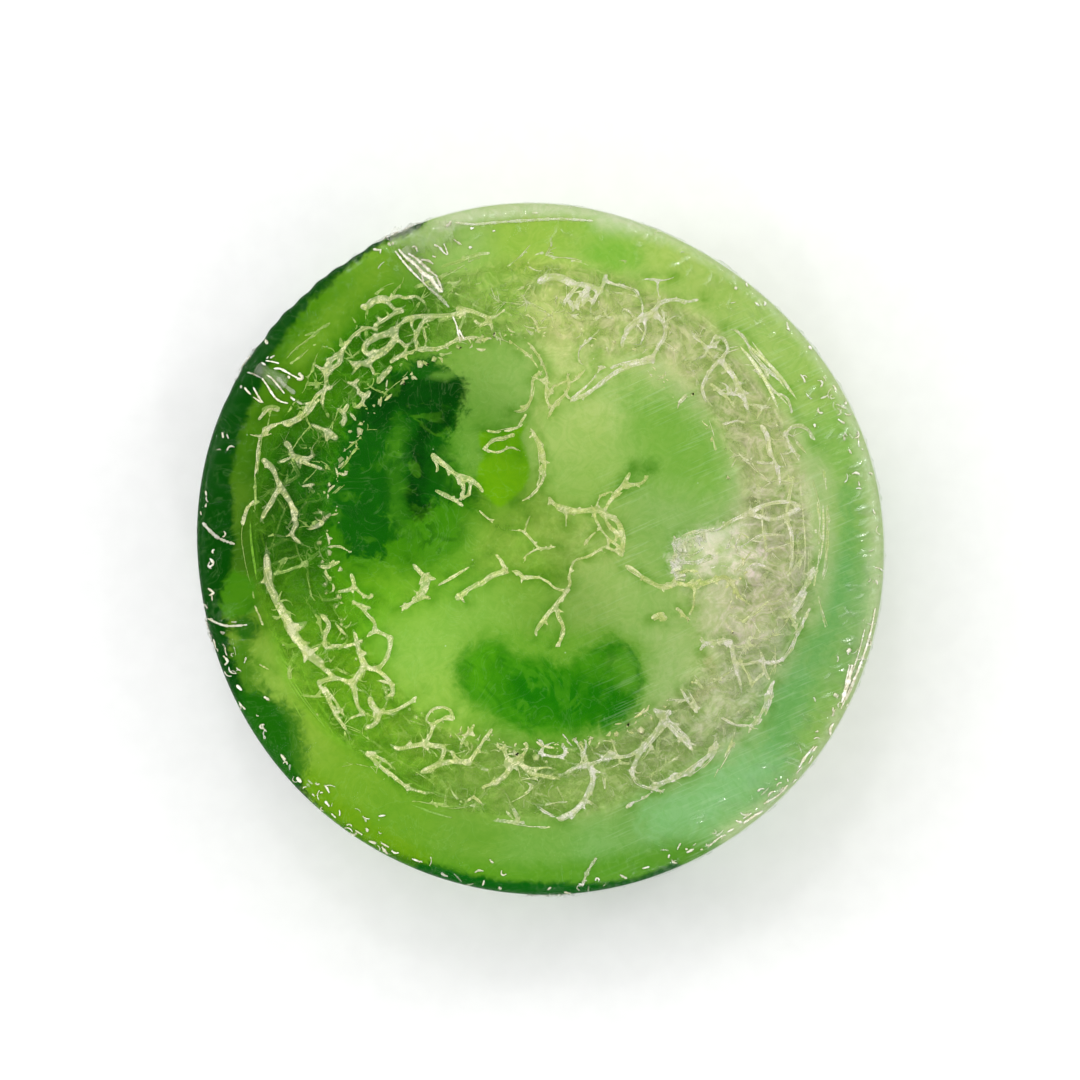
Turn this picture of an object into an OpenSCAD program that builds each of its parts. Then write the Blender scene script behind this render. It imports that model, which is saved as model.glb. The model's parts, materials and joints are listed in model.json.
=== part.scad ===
// A round slice of melt-and-pour soap, cast round a slice of loofah and closed in shrink film.
// The origin is the centre of the resting face, and +Z points up out of the top face.

/* [Puck] */
// Diameter over the wrapped rim
puck_d = 78; // [76:1:84]
// Height of the soap slice without its wrap
soap_h = 25; // [18:1:32]
// Rounding along the two rims of the slice
edge_r = 1.2; // [0.6:0.2:2]

/* [Shrink wrap] */
// Thickness of the film
film_t = 0.1; // [0.08:0.02:0.2]
// Height of the middle of the welded strip above the resting face
seam_z = 11; // [8:1:14]
// Height of the welded strip, where the two sheets are one
seam_h = 0.8; // [0.6:0.2:1.6]
// How far the welded strip stands out from the film
seam_out = 0.5; // [0.3:0.1:1]
// Width round the rim of each gathered corner of the bag, in degrees
gather_deg = 7; // [4:1:10]
// How far a gathered corner stands out from the film
gather_out = 0.4; // [0.2:0.1:0.8]
// Height of a gathered corner above the welded strip
gather_h = 7; // [4:1:9]

/* [Loofah] */
// Outer diameter of the loofah slice
loofah_d = 66; // [60:1:68]
// Thickness of the loofah's fibre wall, both skins included
wall_t = 10.5; // [9:0.5:10.5]
// Thickness of the loofah's outer and inner skins
skin_t = 0.9; // [0.6:0.1:1.2]
// Width of a strand across the chambers and in the core
strand_w = 0.8; // [0.6:0.1:1.2]
// Cells round the wall in each of its two rows
cells = 36; // [28:1:40]
// How far a cell's opening fills its share of the wall
cell_fill = 0.8; // [0.7:0.05:0.88]

/* [Hidden] */

$fn = 96;
puck_r = puck_d / 2;
soap_r = puck_r - film_t;
soap_z = film_t;                       // underside of the soap, on the lower sheet
puck_h = soap_h + 2 * film_t;
loofah_r = loofah_d / 2;
loofah_at = [-0.5, 1];                 // the loofah sits a little off the mould's centre
lining_r = loofah_r - wall_t;          // inside of the inner lining
net_in = lining_r + skin_t;
net_out = loofah_r - skin_t;
plan = loofah_d / 66;                  // scales every outline drawn for a 66 mm loofah
arc_steps = 8;                         // facets in the quarter round of a rim
gather_at = [114, 146, 194, 272];      // where the bag's corners gathered, in degrees
overlap = 1;                           // how far a cutting shape reaches past what it cuts

// Outlines of the castings, seen from above, in millimetres.
left_chamber = [
    [-1.6, 16.5], [-1.6, 20], [-3.6, 21.8], [-7.8, 21.4], [-13.3, 18.5], [-18.2, 13.6], [-21, 8.2],
    [-21.8, 2.2], [-20.2, -2.2], [-15.5, -3], [-10, -0.8], [-6.4, 1.8], [-6.8, 5.2], [-8.2, 9.4],
    [-6.2, 13.6]
];
right_chamber = [
    [1.6, 14.2], [4, 17], [8.4, 18.6], [12.4, 18.2], [16.2, 14.8], [19.2, 10], [20.4, 5.8],
    [18.6, 2.6], [15.8, 0.6], [14.2, -2.6], [11.4, -1.6], [10.4, 1.8], [8, 5.6], [2.6, 5.8],
    [1.6, 9.6]
];
lower_chamber = [
    [-16, -8], [-11, -6], [-5, -4.4], [-0.6, -5], [3.4, -6], [5.4, -3.6], [9, -3], [13, -5.6],
    [16, -7.4], [16, -10.6], [13.6, -14.4], [10.4, -17.2], [4, -19.4], [-3, -19.6], [-9.6, -17.4],
    [-14.4, -13.4]
];
left_swirl = [
    [-9.2, 19.2], [-13.2, 17.2], [-17.4, 12.8], [-20, 7.8], [-20.6, 2.2], [-17.4, -1.2], [-13.2, 0.6],
    [-13.2, 4.4], [-14.4, 8.2], [-13.8, 11.6], [-10, 12.6], [-8.4, 16]
];
right_swirl = [[11.4, 17], [15.2, 14.2], [18.2, 9.6], [17, 7.4], [13.8, 10.6], [11.2, 14.2]];
lower_swirl = [
    [-9.2, -11.4], [-5, -10.2], [-3, -12.2], [2, -13.2], [5.6, -11], [8.6, -9.8], [11, -11.4],
    [11.2, -14.8], [8.4, -17.2], [3, -18.6], [-3, -18.4], [-7.4, -15.8]
];
lump = [
    [-6.2, 9.6], [-5.2, 12.6], [-2.8, 13.8], [-1.2, 12.6], [-0.6, 10], [-0.9, 7.6], [-2.6, 6.2],
    [-4.8, 6.4], [-6, 7.6]
];
// Each of these runs out past the rim, which trims it.
left_rim_swirl = [
    [-28, 30], [-31.2, 23.4], [-33.6, 18], [-34.6, 12], [-35.4, 5], [-35.6, -1], [-34.4, -7],
    [-34.6, -13], [-31.6, -18], [-29.6, -21.6], [-27.6, -25.4], [-25, -33], [-36, -30],
    [-46, -2], [-40, 22]
];
lower_rim_swirl = [
    [-16, -37], [-8, -37], [0, -36.8], [8, -36.4], [17, -37.6], [16, -44], [0, -46], [-16, -44]
];
right_collar_swirl = [
    [32.4, 12], [35, 9], [35.8, 2], [34.6, -6], [32.4, -13], [28.4, -19.6], [21.6, -27.6],
    [13, -31.6], [6, -34.6], [8, -28], [20, -10], [30, 4]
];

// Routes of the strands inside the wall, seen from above.
upper_septum = [
    [[-5, 25], [-1.6, 23.2], [0, 20.6], [-0.2, 17.6], [-0.7, 15.4]],
    [[14.6, 21.6], [10.6, 20.4], [6.6, 19.4], [3, 18.2], [0.9, 16], [0.5, 14.2]]
];
right_septum = [
    [[9.6, -1.8], [12.2, -4], [15, -4.2], [17.4, -5.4], [21.4, -10.4]],
    [[16.8, -0.6], [23.8, 3.4]]
];
left_septum = [
    [[-21, -16], [-17, -8], [-12.6, -5.2], [-8.6, -4], [-5, -2.6]],
    [[-11.6, -3], [-5, -0.8]]
];
core_strands = [
    [[2.6, 4.2], [5, 4], [7.2, 3.4], [8.6, 1.6], [8.8, -0.6]],
    [[-1.6, 2.4], [0, 0.6], [2.6, 0.4]]
];
hook_strand = [[-0.2, 12.2], [0.5, 10], [0.3, 8], [-0.6, 6.2], [-2, 5.2]];
right_fork = [[8, 4.4], [9.4, 6.8], [11.8, 8.8]];
lower_fork = [[-2, -3], [0.6, -3], [2.6, -4.2], [2.4, -6.2], [1, -7.8], [0, -10]];

// One point of a Catmull-Rom span from b to c.
function span_point(a, b, c, d, t) =
    0.5 * (2 * b + (c - a) * t + (2 * a - 5 * b + 4 * c - d) * t * t
           + (3 * b - a - 3 * c + d) * t * t * t);

// A smooth closed curve through the points.
function closed_curve(p, steps = 4) =
    let (n = len(p))
    [for (i = [0:n - 1]) for (k = [0:steps - 1])
        span_point(p[(i + n - 1) % n], p[i], p[(i + 1) % n], p[(i + 2) % n], k / steps)];

// A smooth open curve through the points.
function open_curve(p, steps = 4) =
    let (last = len(p) - 1)
    [for (i = [0:last - 1]) for (k = [0:(i == last - 1 ? steps : steps - 1)])
        span_point(p[max(i - 1, 0)], p[i], p[i + 1], p[min(i + 2, last)], k / steps)];

// The direction square to an open curve at one of its points.
function side_of(c, i) =
    let (along = c[min(i + 1, len(c) - 1)] - c[max(i - 1, 0)])
    [-along.y, along.x] / norm(along);

// The outline of a strand of width w along an open curve.
function strand_outline(c, w) =
    let (n = len(c))
    concat(
        [for (i = [0:n - 1]) c[i] + side_of(c, i) * w / 2],
        [for (i = [n - 1:-1:0]) c[i] - side_of(c, i) * w / 2]);

// A loop with its corners rounded off between the middles of its sides.
function rounded_loop(p, steps = 3) =
    let (n = len(p))
    [for (i = [0:n - 1])
        let (a = (p[(i + n - 1) % n] + p[i]) / 2, b = p[i], c = (p[i] + p[(i + 1) % n]) / 2)
        for (k = [0:steps - 1])
            let (t = k / steps) a * (1 - t) * (1 - t) + 2 * b * t * (1 - t) + c * t * t];

function polar(r, a) = loofah_at + r * [cos(a), sin(a)];

// The wall's cells are a honeycomb bent round the loofah, each corner moved a little by its own
// two counts.
cell_s = (net_out - net_in) / 3.5;
cell_a = 360 / cells;
function corner(ring, step) =
    polar(net_in + ring * cell_s / 2 + 0.35 * sin(137 * ring + 71 * step),
          step * cell_a / 2 + 0.9 * sin(97 * ring + 53 * step));
function cell(row, j) =
    let (ring = 2 + 3 * row, step = (2 * j + row) % (2 * cells),
         left = (step + 2 * cells - 1) % (2 * cells), right = (step + 1) % (2 * cells),
         raw = [corner(ring + 2, step), corner(ring + 1, right), corner(ring - 1, right),
                corner(ring - 2, step), corner(ring - 1, left), corner(ring + 1, left)],
         middle = (raw[0] + raw[1] + raw[2] + raw[3] + raw[4] + raw[5]) / 6)
    rounded_loop([for (v = raw) middle + (v - middle) * cell_fill]);

// The green side of the wall is the part of the slice that faces the dark rim.
function is_green(j) = let (a = j * cell_a) a > 95 && a < 235;

// The right-hand half of a section through the slice, grown outwards by the given amount.
function slice_section(grow) =
    let (r = soap_r + grow, low = soap_z - grow, high = soap_z + soap_h + grow, e = edge_r + grow)
    concat(
        [[0, low]],
        [for (k = [-arc_steps:0])
            let (a = 90 * k / arc_steps) [r - e + e * cos(a), low + e + e * sin(a)]],
        [for (k = [0:arc_steps])
            let (a = 90 * k / arc_steps) [r - e + e * cos(a), high - e + e * sin(a)]],
        [[0, high]]);

module slice(grow = 0) {
    rotate_extrude() polygon(slice_section(grow));
}

// An upright prism of an outline, through the whole height of the soap.
module through(outline, spare = 0) {
    translate([0, 0, soap_z - spare]) linear_extrude(soap_h + 2 * spare) polygon(outline);
}

module through_loofah(r, spare = 0) {
    translate([loofah_at.x, loofah_at.y, soap_z - spare]) cylinder(r = r, h = soap_h + 2 * spare);
}

module strands(routes, spare = 0) {
    for (route = routes) through(strand_outline(open_curve(route * plan), strand_w), spare);
}

module collar_block() {
    difference() {
        slice();
        through_loofah(loofah_r, overlap);
    }
}

// The film that wraps the slice, between two heights.
module film_between(low, high) {
    intersection() {
        difference() {
            slice(film_t);
            slice();
        }
        translate([0, 0, low]) cylinder(r = puck_r + overlap, h = high - low);
    }
}

module film_top_sheet() {
    color("whitesmoke", 0.3) film_between(seam_z + seam_h / 2, puck_h + overlap);
}

module film_bottom_sheet() {
    color("whitesmoke", 0.3) film_between(-overlap, seam_z - seam_h / 2);
}

module heat_seal_strip() {
    color("white", 0.5) translate([0, 0, seam_z - seam_h / 2]) difference() {
        cylinder(r = puck_r + seam_out, h = seam_h);
        translate([0, 0, -overlap]) cylinder(r = soap_r, h = seam_h + 2 * overlap);
    }
}

module film_corner_gathers() {
    reach = puck_r + 4 * gather_out;
    half = gather_deg / 2;
    color("white", 0.5) for (a = gather_at)
        rotate(a) translate([0, 0, seam_z + seam_h / 2]) intersection() {
            difference() {
                cylinder(r = puck_r + gather_out, h = gather_h);
                translate([0, 0, -overlap]) cylinder(r = puck_r, h = gather_h + 2 * overlap);
            }
            linear_extrude(gather_h)
                polygon([[0, 0], reach * [cos(half), -sin(half)], reach * [cos(half), sin(half)]]);
        }
}

module collar_soap() {
    color("darkseagreen") difference() {
        collar_block();
        for (p = [left_rim_swirl, lower_rim_swirl, right_collar_swirl])
            through(closed_curve(p * plan), overlap);
    }
}

module collar_part(outline) {
    intersection() {
        collar_block();
        through(closed_curve(outline * plan), overlap);
    }
}

module collar_swirl_right() {
    color("mediumseagreen") collar_part(right_collar_swirl);
}

module rim_swirl_left() {
    color("darkgreen") collar_part(left_rim_swirl);
}

module rim_swirl_lower() {
    color("darkgreen") collar_part(lower_rim_swirl);
}

module wall_cells(green) {
    for (row = [0:1]) for (j = [0:cells - 1]) if (is_green(j) == green) through(cell(row, j));
}

module wall_soap_clear() {
    color("beige") wall_cells(false);
}

module wall_soap_green() {
    color("olivedrab") wall_cells(true);
}

// The soap of a chamber, without the swirl and the strands that stand in it.
module chamber(outline, swirl, routes) {
    difference() {
        through(closed_curve(outline * plan));
        through(closed_curve(swirl * plan), overlap);
        strands(routes, overlap);
    }
}

module chamber_soap_left() {
    color("yellowgreen") chamber(left_chamber, left_swirl, []);
}

module chamber_swirl_left() {
    color("darkgreen") through(closed_curve(left_swirl * plan));
}

module chamber_soap_right() {
    color("yellowgreen") chamber(right_chamber, right_swirl, [right_fork]);
}

module chamber_swirl_right() {
    color("forestgreen") through(closed_curve(right_swirl * plan));
}

module chamber_soap_lower() {
    color("yellowgreen") chamber(lower_chamber, lower_swirl, [lower_fork]);
}

module chamber_swirl_lower() {
    color("green") through(closed_curve(lower_swirl * plan));
}

module core_soap() {
    color("olivedrab") difference() {
        through_loofah(lining_r);
        for (p = [left_chamber, right_chamber, lower_chamber, lump])
            through(closed_curve(p * plan), overlap);
        strands(concat(upper_septum, right_septum, left_septum, core_strands), overlap);
        strands([hook_strand, right_fork, lower_fork], overlap);
    }
}

module core_lump() {
    color("yellowgreen") through(closed_curve(lump * plan));
}

module loofah_outer_skin() {
    color("lemonchiffon") difference() {
        through_loofah(loofah_r);
        through_loofah(net_out, overlap);
    }
}

module loofah_wall_net() {
    color("cornsilk") difference() {
        through_loofah(net_out);
        through_loofah(net_in, overlap);
        for (row = [0:1]) for (j = [0:cells - 1]) through(cell(row, j), overlap);
    }
}

module loofah_inner_lining() {
    color("lemonchiffon") difference() {
        through_loofah(net_in);
        through_loofah(lining_r, overlap);
    }
}

// Strands that end inside the lining.
module inner_strands(routes) {
    intersection() {
        strands(routes);
        through_loofah(lining_r, overlap);
    }
}

module loofah_septum_upper() {
    color("cornsilk") inner_strands(concat(upper_septum, [hook_strand]));
}

module loofah_septum_right() {
    color("cornsilk") inner_strands(right_septum);
}

module loofah_septum_left() {
    color("cornsilk") inner_strands(left_septum);
}

module loofah_core_strands() {
    color("cornsilk") inner_strands(concat(core_strands, [right_fork, lower_fork]));
}

film_top_sheet();
film_bottom_sheet();
heat_seal_strip();
film_corner_gathers();
collar_soap();
collar_swirl_right();
rim_swirl_left();
rim_swirl_lower();
wall_soap_clear();
wall_soap_green();
chamber_soap_left();
chamber_swirl_left();
chamber_soap_right();
chamber_swirl_right();
chamber_soap_lower();
chamber_swirl_lower();
core_soap();
core_lump();
loofah_outer_skin();
loofah_wall_net();
loofah_inner_lining();
loofah_septum_upper();
loofah_septum_right();
loofah_septum_left();
loofah_core_strands();
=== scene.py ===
"""A round slice of green swirled soap, cast round a slice of loofah and shrink-wrapped.

All shapes are worked out in millimetres, in the frame of the CAD part: the origin is the middle of the
resting face, +Z points up out of the cut face, +X is right and +Y is away. Meshes are stored in metres.
"""
import json
import math

import bpy
import numpy as np
import openvdb
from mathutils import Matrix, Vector, geometry, kdtree


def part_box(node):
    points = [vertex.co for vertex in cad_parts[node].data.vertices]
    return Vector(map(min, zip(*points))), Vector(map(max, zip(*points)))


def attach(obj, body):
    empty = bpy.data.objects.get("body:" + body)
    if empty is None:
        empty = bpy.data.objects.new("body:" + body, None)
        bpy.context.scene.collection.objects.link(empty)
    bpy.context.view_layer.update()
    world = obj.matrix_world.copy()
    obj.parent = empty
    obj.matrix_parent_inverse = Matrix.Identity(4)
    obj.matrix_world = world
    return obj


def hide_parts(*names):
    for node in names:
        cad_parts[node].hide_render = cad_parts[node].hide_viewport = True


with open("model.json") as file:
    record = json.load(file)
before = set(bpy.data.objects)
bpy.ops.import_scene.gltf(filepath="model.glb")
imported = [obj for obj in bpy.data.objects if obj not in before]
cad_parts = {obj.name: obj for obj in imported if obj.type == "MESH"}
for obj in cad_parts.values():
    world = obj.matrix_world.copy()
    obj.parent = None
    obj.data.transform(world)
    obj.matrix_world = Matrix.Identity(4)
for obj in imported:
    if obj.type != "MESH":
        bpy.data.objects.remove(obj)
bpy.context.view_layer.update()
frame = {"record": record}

MM = 0.001
LIGHT = (1.0, 1.08, 0.98)  # how brightly the lights show a white surface, so a paint is divided by it
SOAP_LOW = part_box("collar_soap")[0].z / MM
SOAP_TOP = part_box("collar_soap")[1].z / MM
FILM_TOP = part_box("film_top_sheet")[1].z / MM
SEAM_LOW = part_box("heat_seal_strip")[0].z / MM
SEAM_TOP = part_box("heat_seal_strip")[1].z / MM
SOAP_THICK = 25           # how thick the slice is
SOAP_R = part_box("collar_soap")[1].x / MM
EDGE_R = 1.3              # rounding of the rims
CLOUD_DEPTH = 1.9         # how far one can see into the clear soap
LOOFAH_AT = (-0.5, 1.0)   # the loofah sits a little off the mould's centre
WALL_OUT = 32.6           # the loofah wall's outer radius
WALL_IN = 23.2            # the ring of its inner lining
GREEN_WALL = (98, 232)    # between these angles the soap in the wall's cells is green
CORNERS = (114, 146, 194, 272)  # the angles, in degrees, at which the film's corners are gathered
VOXEL = 0.13              # how finely the loofah's webbed strands are worked out
CUT_ROUNDING = 0.12       # rounding where a strand is sliced at the cut face
SKIN = 0.1                # how far the film lies outside the soap
ROUND = EDGE_R * math.pi / 2  # how far it is over the rounded rim
GRID_STEP = 0.65          # how finely the cut face is divided
FILM_ANGLES = np.arange(0, 360, 0.5)  # the angles at which the film is worked out


# ------------------------------------------------------------------ numbers and curves

def lattice(i, j, k, seed):
    """A random-looking number from 0 to 1 for each lattice point."""
    h = np.sin(i * 127.1 + j * 311.7 + k * 74.7 + seed * 53.3) * 43758.5453
    return h - np.floor(h)


def noise(points, size, seed, octaves=3):
    """Smooth noise from -1 to 1 at points (n x 3), with its largest lumps about size across."""
    total = np.zeros(len(points))
    weight = 0.0
    for octave in range(octaves):
        q = points * (2 ** octave) / size + 17.3 * octave
        cell = np.floor(q)
        f = q - cell
        f = f * f * (3 - 2 * f)
        value = 0
        for corner in np.ndindex(2, 2, 2):
            share = 1
            for k in range(3):
                share = share * (f[:, k] if corner[k] else 1 - f[:, k])
            value = value + share * lattice(*(cell[:, k] + corner[k] for k in range(3)), seed)
        total += (value * 2 - 1) * 0.5 ** octave
        weight += 0.5 ** octave
    return total / weight


def smoothstep(low, high, x):
    """0 up to low and 1 from high on, eased in between."""
    t = np.clip((x - low) / (high - low), 0, 1)
    return t * t * (3 - 2 * t)


def curve(points, step, closed=False):
    """A smooth curve through the points, with points about step apart."""
    p = np.array(points, float)
    n = len(p)
    out = []
    for i in range(n if closed else n - 1):
        if closed:
            a, b, c, d = p[(i - 1) % n], p[i], p[(i + 1) % n], p[(i + 2) % n]
        else:
            a, b, c, d = p[max(i - 1, 0)], p[i], p[i + 1], p[min(i + 2, n - 1)]
        count = max(1, int(round(np.linalg.norm(c - b) / step)))
        for t in np.arange(count) / count:
            out.append(0.5 * (2 * b + (c - a) * t + (2 * a - 5 * b + 4 * c - d) * t ** 2
                              + (3 * b - a - 3 * c + d) * t ** 3))
    if not closed:
        out.append(p[-1])
    return np.array(out)


def signed_distance(xy, loop):
    """How far inside a closed loop each point lies; negative outside it."""
    best = np.full(len(xy), 1e9)
    inside = np.zeros(len(xy), bool)
    x, y = xy[:, 0], xy[:, 1]
    for a, b in zip(loop, np.roll(loop, -1, axis=0)):
        d = b - a
        t = np.clip(((x - a[0]) * d[0] + (y - a[1]) * d[1]) / (d @ d + 1e-12), 0, 1)
        best = np.minimum(best, (x - a[0] - t * d[0]) ** 2 + (y - a[1] - t * d[1]) ** 2)
        if a[1] != b[1]:
            crosses = ((a[1] > y) != (b[1] > y)) & (x < a[0] + (y - a[1]) * d[0] / d[1])
            inside ^= crosses
    best = np.sqrt(best)
    return np.where(inside, best, -best)


def rim_radius(angle):
    """The radius of the soap at an angle: a circle, a little out of round and nicked at the upper left."""
    wave = 0
    for size, waves, start in ((0.0112, 2, 1.77), (0.0029, 3, -0.42), (0.002, 4, 0), (0.0024, 5, -1.54),
                               (0.0014, 6, 2.9)):
        wave = wave + size * np.cos(waves * angle + start)
    nicked = smoothstep(0.5, 0.2, np.abs(angle % (2 * np.pi) - 2.3))
    nicks = 0.0035 * nicked * np.sin(31 * angle) * np.sin(67 * angle + 1)
    return SOAP_R * (1 + wave + nicks)


def polar(r, degrees, centre=(0, 0)):
    """The point at a radius and an angle from a centre."""
    a = np.radians(degrees)
    return np.array([centre[0] + r * np.cos(a), centre[1] + r * np.sin(a)])


def around(r, angle, z, centre=(0, 0)):
    """Points at radii and angles (in radians) round a centre, and at heights."""
    return np.stack([centre[0] + r * np.cos(angle), centre[1] + r * np.sin(angle), z + 0 * r * angle], -1)


def stroll(way, length):
    """A flat path from the origin that heads along each of the angles in turn."""
    return np.c_[np.cumsum(np.cos(way)), np.cumsum(np.sin(way)), 0 * way] * length / len(way)


def unit(vectors):
    """The vectors, each made 1 long."""
    return vectors / (np.linalg.norm(vectors, axis=1)[:, None] + 1e-9)


def tree_of(points):
    """A tree that finds the nearest of the points."""
    tree = kdtree.KDTree(len(points))
    for i, q in enumerate(points):
        tree.insert(q, i)
    tree.balance()
    return tree


def linear(rgb):
    """A paint from its colour as seen, red, green and blue from 0 to 255."""
    c = np.array(rgb, float) / 255
    lin = np.where(c <= 0.04045, c / 12.92, ((c + 0.055) / 1.055) ** 2.4)
    return tuple(np.minimum(lin / np.array(LIGHT), 1.0)) + (1.0,)


# ------------------------------------------------------------------ the pours of soap, from above

# Dyes: a place and the colour that the soap has round it.
DYES = [
    # collar, clockwise from the top
    (0, 35, (150, 190, 72)), (8, 34, (146, 191, 78)), (15, 33, (165, 197, 94)), (20, 29.5, (156, 190, 90)),
    (26, 26, (158, 193, 98)), (31, 19, (152, 190, 90)), (34, 12, (136, 184, 84)), (33.4, 4, (136, 180, 90)),
    (33.4, -4, (126, 176, 98)), (32, -10, (130, 176, 96)), (29, -17, (126, 176, 96)),
    (26, -23, (128, 178, 100)),
    (20, -29, (132, 182, 104)), (14, -31, (112, 164, 80)), (8, -34, (112, 164, 78)), (0, -34, (106, 158, 60)),
    (-8, -33, (100, 152, 44)), (-15, -30, (99, 153, 34)), (-21, -25, (108, 158, 36)),
    (-26, -20, (120, 163, 48)),
    (-29, -13, (130, 170, 62)), (-31.5, -7, (92, 134, 28)), (-33.4, 4.6, (80, 122, 24)),
    (-32.4, 0, (46, 94, 8)), (-33, 9, (52, 104, 4)),
    (-31, 15, (68, 118, 10)), (-27.6, 20.4, (66, 116, 8)), (-24, 25, (70, 128, 4)),
    (-19.4, 28.4, (72, 132, 8)), (-18, 32, (116, 166, 40)),
    (-11, 33, (146, 186, 92)),
    # the loofah's wall, clockwise from the top
    (3, 27.5, (184, 204, 124)), (9, 26, (180, 199, 128)), (15, 23, (182, 199, 134)),
    (20, 18, (176, 194, 130)),
    (25, 11, (184, 197, 142)), (28, 5.4, (188, 202, 150)), (25.6, 2, (170, 183, 130)),
    (26.5, -4, (168, 180, 132)), (24, -12, (172, 187, 142)),
    (20, -18, (172, 190, 138)), (14, -23, (140, 170, 96)), (7, -26, (136, 168, 88)), (0, -27, (122, 158, 70)),
    (-8, -26, (114, 156, 58)), (-14, -24, (110, 156, 42)), (-19, -20, (118, 164, 42)),
    (-23, -16, (118, 164, 36)),
    (-26, -10, (100, 148, 26)), (-27, -4, (64, 118, 6)), (-28, 4, (30, 90, 3)), (-27, 10, (36, 98, 2)),
    (-24, 17.6, (70, 126, 8)), (-19, 23.5, (58, 118, 6)), (-15.6, 28.4, (66, 126, 14)),
    (-13, 27, (84, 142, 24)), (-6, 28.5, (142, 186, 76)),
    # the chambers and the core
    (-5, 20, (144, 184, 90)), (-8.4, 22, (120, 166, 62)), (-7.6, 17, (86, 140, 38)),
    (-7, 12, (104, 156, 52)), (-12, 3, (58, 128, 8)),
    (-17, -1, (70, 136, 6)), (-19, -4, (98, 158, 22)), (-15, -5.4, (114, 170, 42)), (-10, -2, (98, 158, 34)),
    (-4.4, 4, (88, 140, 22)), (4, 14, (162, 194, 100)), (8, 19, (176, 202, 118)), (13, 12, (138, 183, 82)),
    (18, 8, (138, 180, 88)), (5, 8, (144, 184, 84)), (12, 1, (130, 174, 82)), (17, 3, (140, 180, 96)),
    (-13, -10, (130, 180, 68)), (-6, -7.4, (120, 170, 60)), (0, -8, (106, 152, 48)),
    (5, -6.4, (132, 170, 78)),
    (13, -7, (140, 180, 88)), (14.4, -13.6, (148, 182, 102)), (-11, -17, (134, 180, 66)),
    (0, -22.6, (110, 154, 60)),
    (1, 2, (134, 172, 68)), (-4, 0.6, (126, 168, 60)), (0, -2.5, (104, 152, 42)), (6, 1, (146, 180, 86)),
    (8.6, -2, (158, 190, 102)), (17, -8.8, (160, 188, 110)), (32, -20, (140, 182, 82)),
]

# The outlines of the pours and swirls.
LOOPS = {
    "left_rim": [(-13, 37.4), (-18, 34.4), (-22.8, 30.7), (-25.7, 28.1), (-28.4, 24.5), (-30.7, 20.9),
                 (-32.2, 16.8),
                 (-33.6, 13.4), (-34.8, 9), (-34.6, 5), (-34.6, 0), (-35, -2.6), (-36, -5), (-35.2, -9),
                 (-34.4, -13), (-33.2, -16), (-30.6, -17), (-28.6, -19), (-28, -22), (-27.6, -24.8),
                 (-25.8, -28), (-23, -30.8), (-18, -34), (-12, -36.6), (-22, -42), (-46, -20), (-48, 10),
                 (-36, 36), (-20, 46)],
    "lower_rim": [(-14, -35.8), (-6, -37.1), (0, -37.5), (6, -37.6), (11, -37), (16, -35.8), (16, -44),
                  (0, -46),
                  (-16, -44)],
    "right_collar": [(32.4, 12), (35, 9), (35.8, 2), (34.6, -6), (32.4, -13), (28.4, -19.6), (21.6, -27.6),
                     (13, -31.6), (6, -34.6), (8, -28), (20, -10), (30, 4)],
    "left_chamber": [(-1.6, 16.5), (-1.4, 19), (-2.2, 21), (-4.2, 22.4), (-8.4, 22.4), (-12, 21.8),
                     (-15.6, 19.6),
                     (-19.2, 15.4), (-22, 9), (-22.8, 2.2), (-21.4, -2.4), (-15.5, -3.4), (-10, -1.2),
                     (-7.2, 2.4),
                     (-7.6, 5.2), (-9.4, 8.6), (-8.2, 11.6), (-5, 14.4)],
    "right_chamber": [(1, 14.2), (3.6, 16.8), (8, 19.8), (12.4, 21), (16.4, 17.4), (19.4, 12), (21.6, 7),
                      (20.6, 2.4), (16.4, 1), (15, -2.8), (13, -3.8), (10.4, -1.6), (10, 1.8), (8.4, 4.6),
                      (2.6, 5.2), (1, 9.6)],
    "lower_chamber": [(-17, -8.4), (-12, -5.8), (-5, -4.2), (-0.6, -4.4), (3.4, -5.4), (5.4, -3.2), (9, -2.4),
                      (13, -4.8), (16, -7), (16.4, -10.6), (14.2, -15.4), (10.6, -18.4), (4, -20.8),
                      (-3, -20.8),
                      (-9.6, -19), (-14.8, -14.6)],
    "left_swirl": [(-9.2, 19.8), (-11, 20.9), (-14, 21), (-17.4, 18.4), (-20.4, 14), (-22.2, 8.4), (-22.6, 3),
                   (-19, 0.4), (-15, 0.8), (-12.4, 3), (-11.8, 7), (-11.8, 11.4), (-9.4, 13.6), (-8.4, 16.4)],
    "right_swirl": [(9.4, 18.4), (13, 19), (16.6, 16), (20, 11.6), (20.4, 7.4), (16.4, 7.2), (12.6, 11),
                    (10, 14.4)],
    "lower_swirl": [(-9.3, -13.6), (-8, -11.5), (-5, -10.2), (-3, -11.6), (0, -12.5), (3, -12.9),
                    (5.5, -11.3),
                    (8, -10.3), (9.5, -10.8), (11, -12.5), (11.5, -15), (10.4, -17.6), (8, -19.4), (3, -20.8),
                    (-1.4, -20.6), (-5.2, -18.8), (-8.2, -16.4)],
    "lump": [(-6.7, 13.3), (-4.6, 13.2), (-2.6, 13.9), (-1.5, 14.2), (-2.2, 12.7), (-1.5, 11), (-1.1, 8.8),
             (-1.8, 7),
             (-3.2, 5.6), (-4.7, 4.8), (-6, 6), (-7.1, 7.9), (-6.9, 9.4), (-6.2, 10.6), (-6.8, 11.8)],
}
OUTLINES = {name: curve(points, 0.8, closed=True) for name, points in LOOPS.items()}

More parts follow.
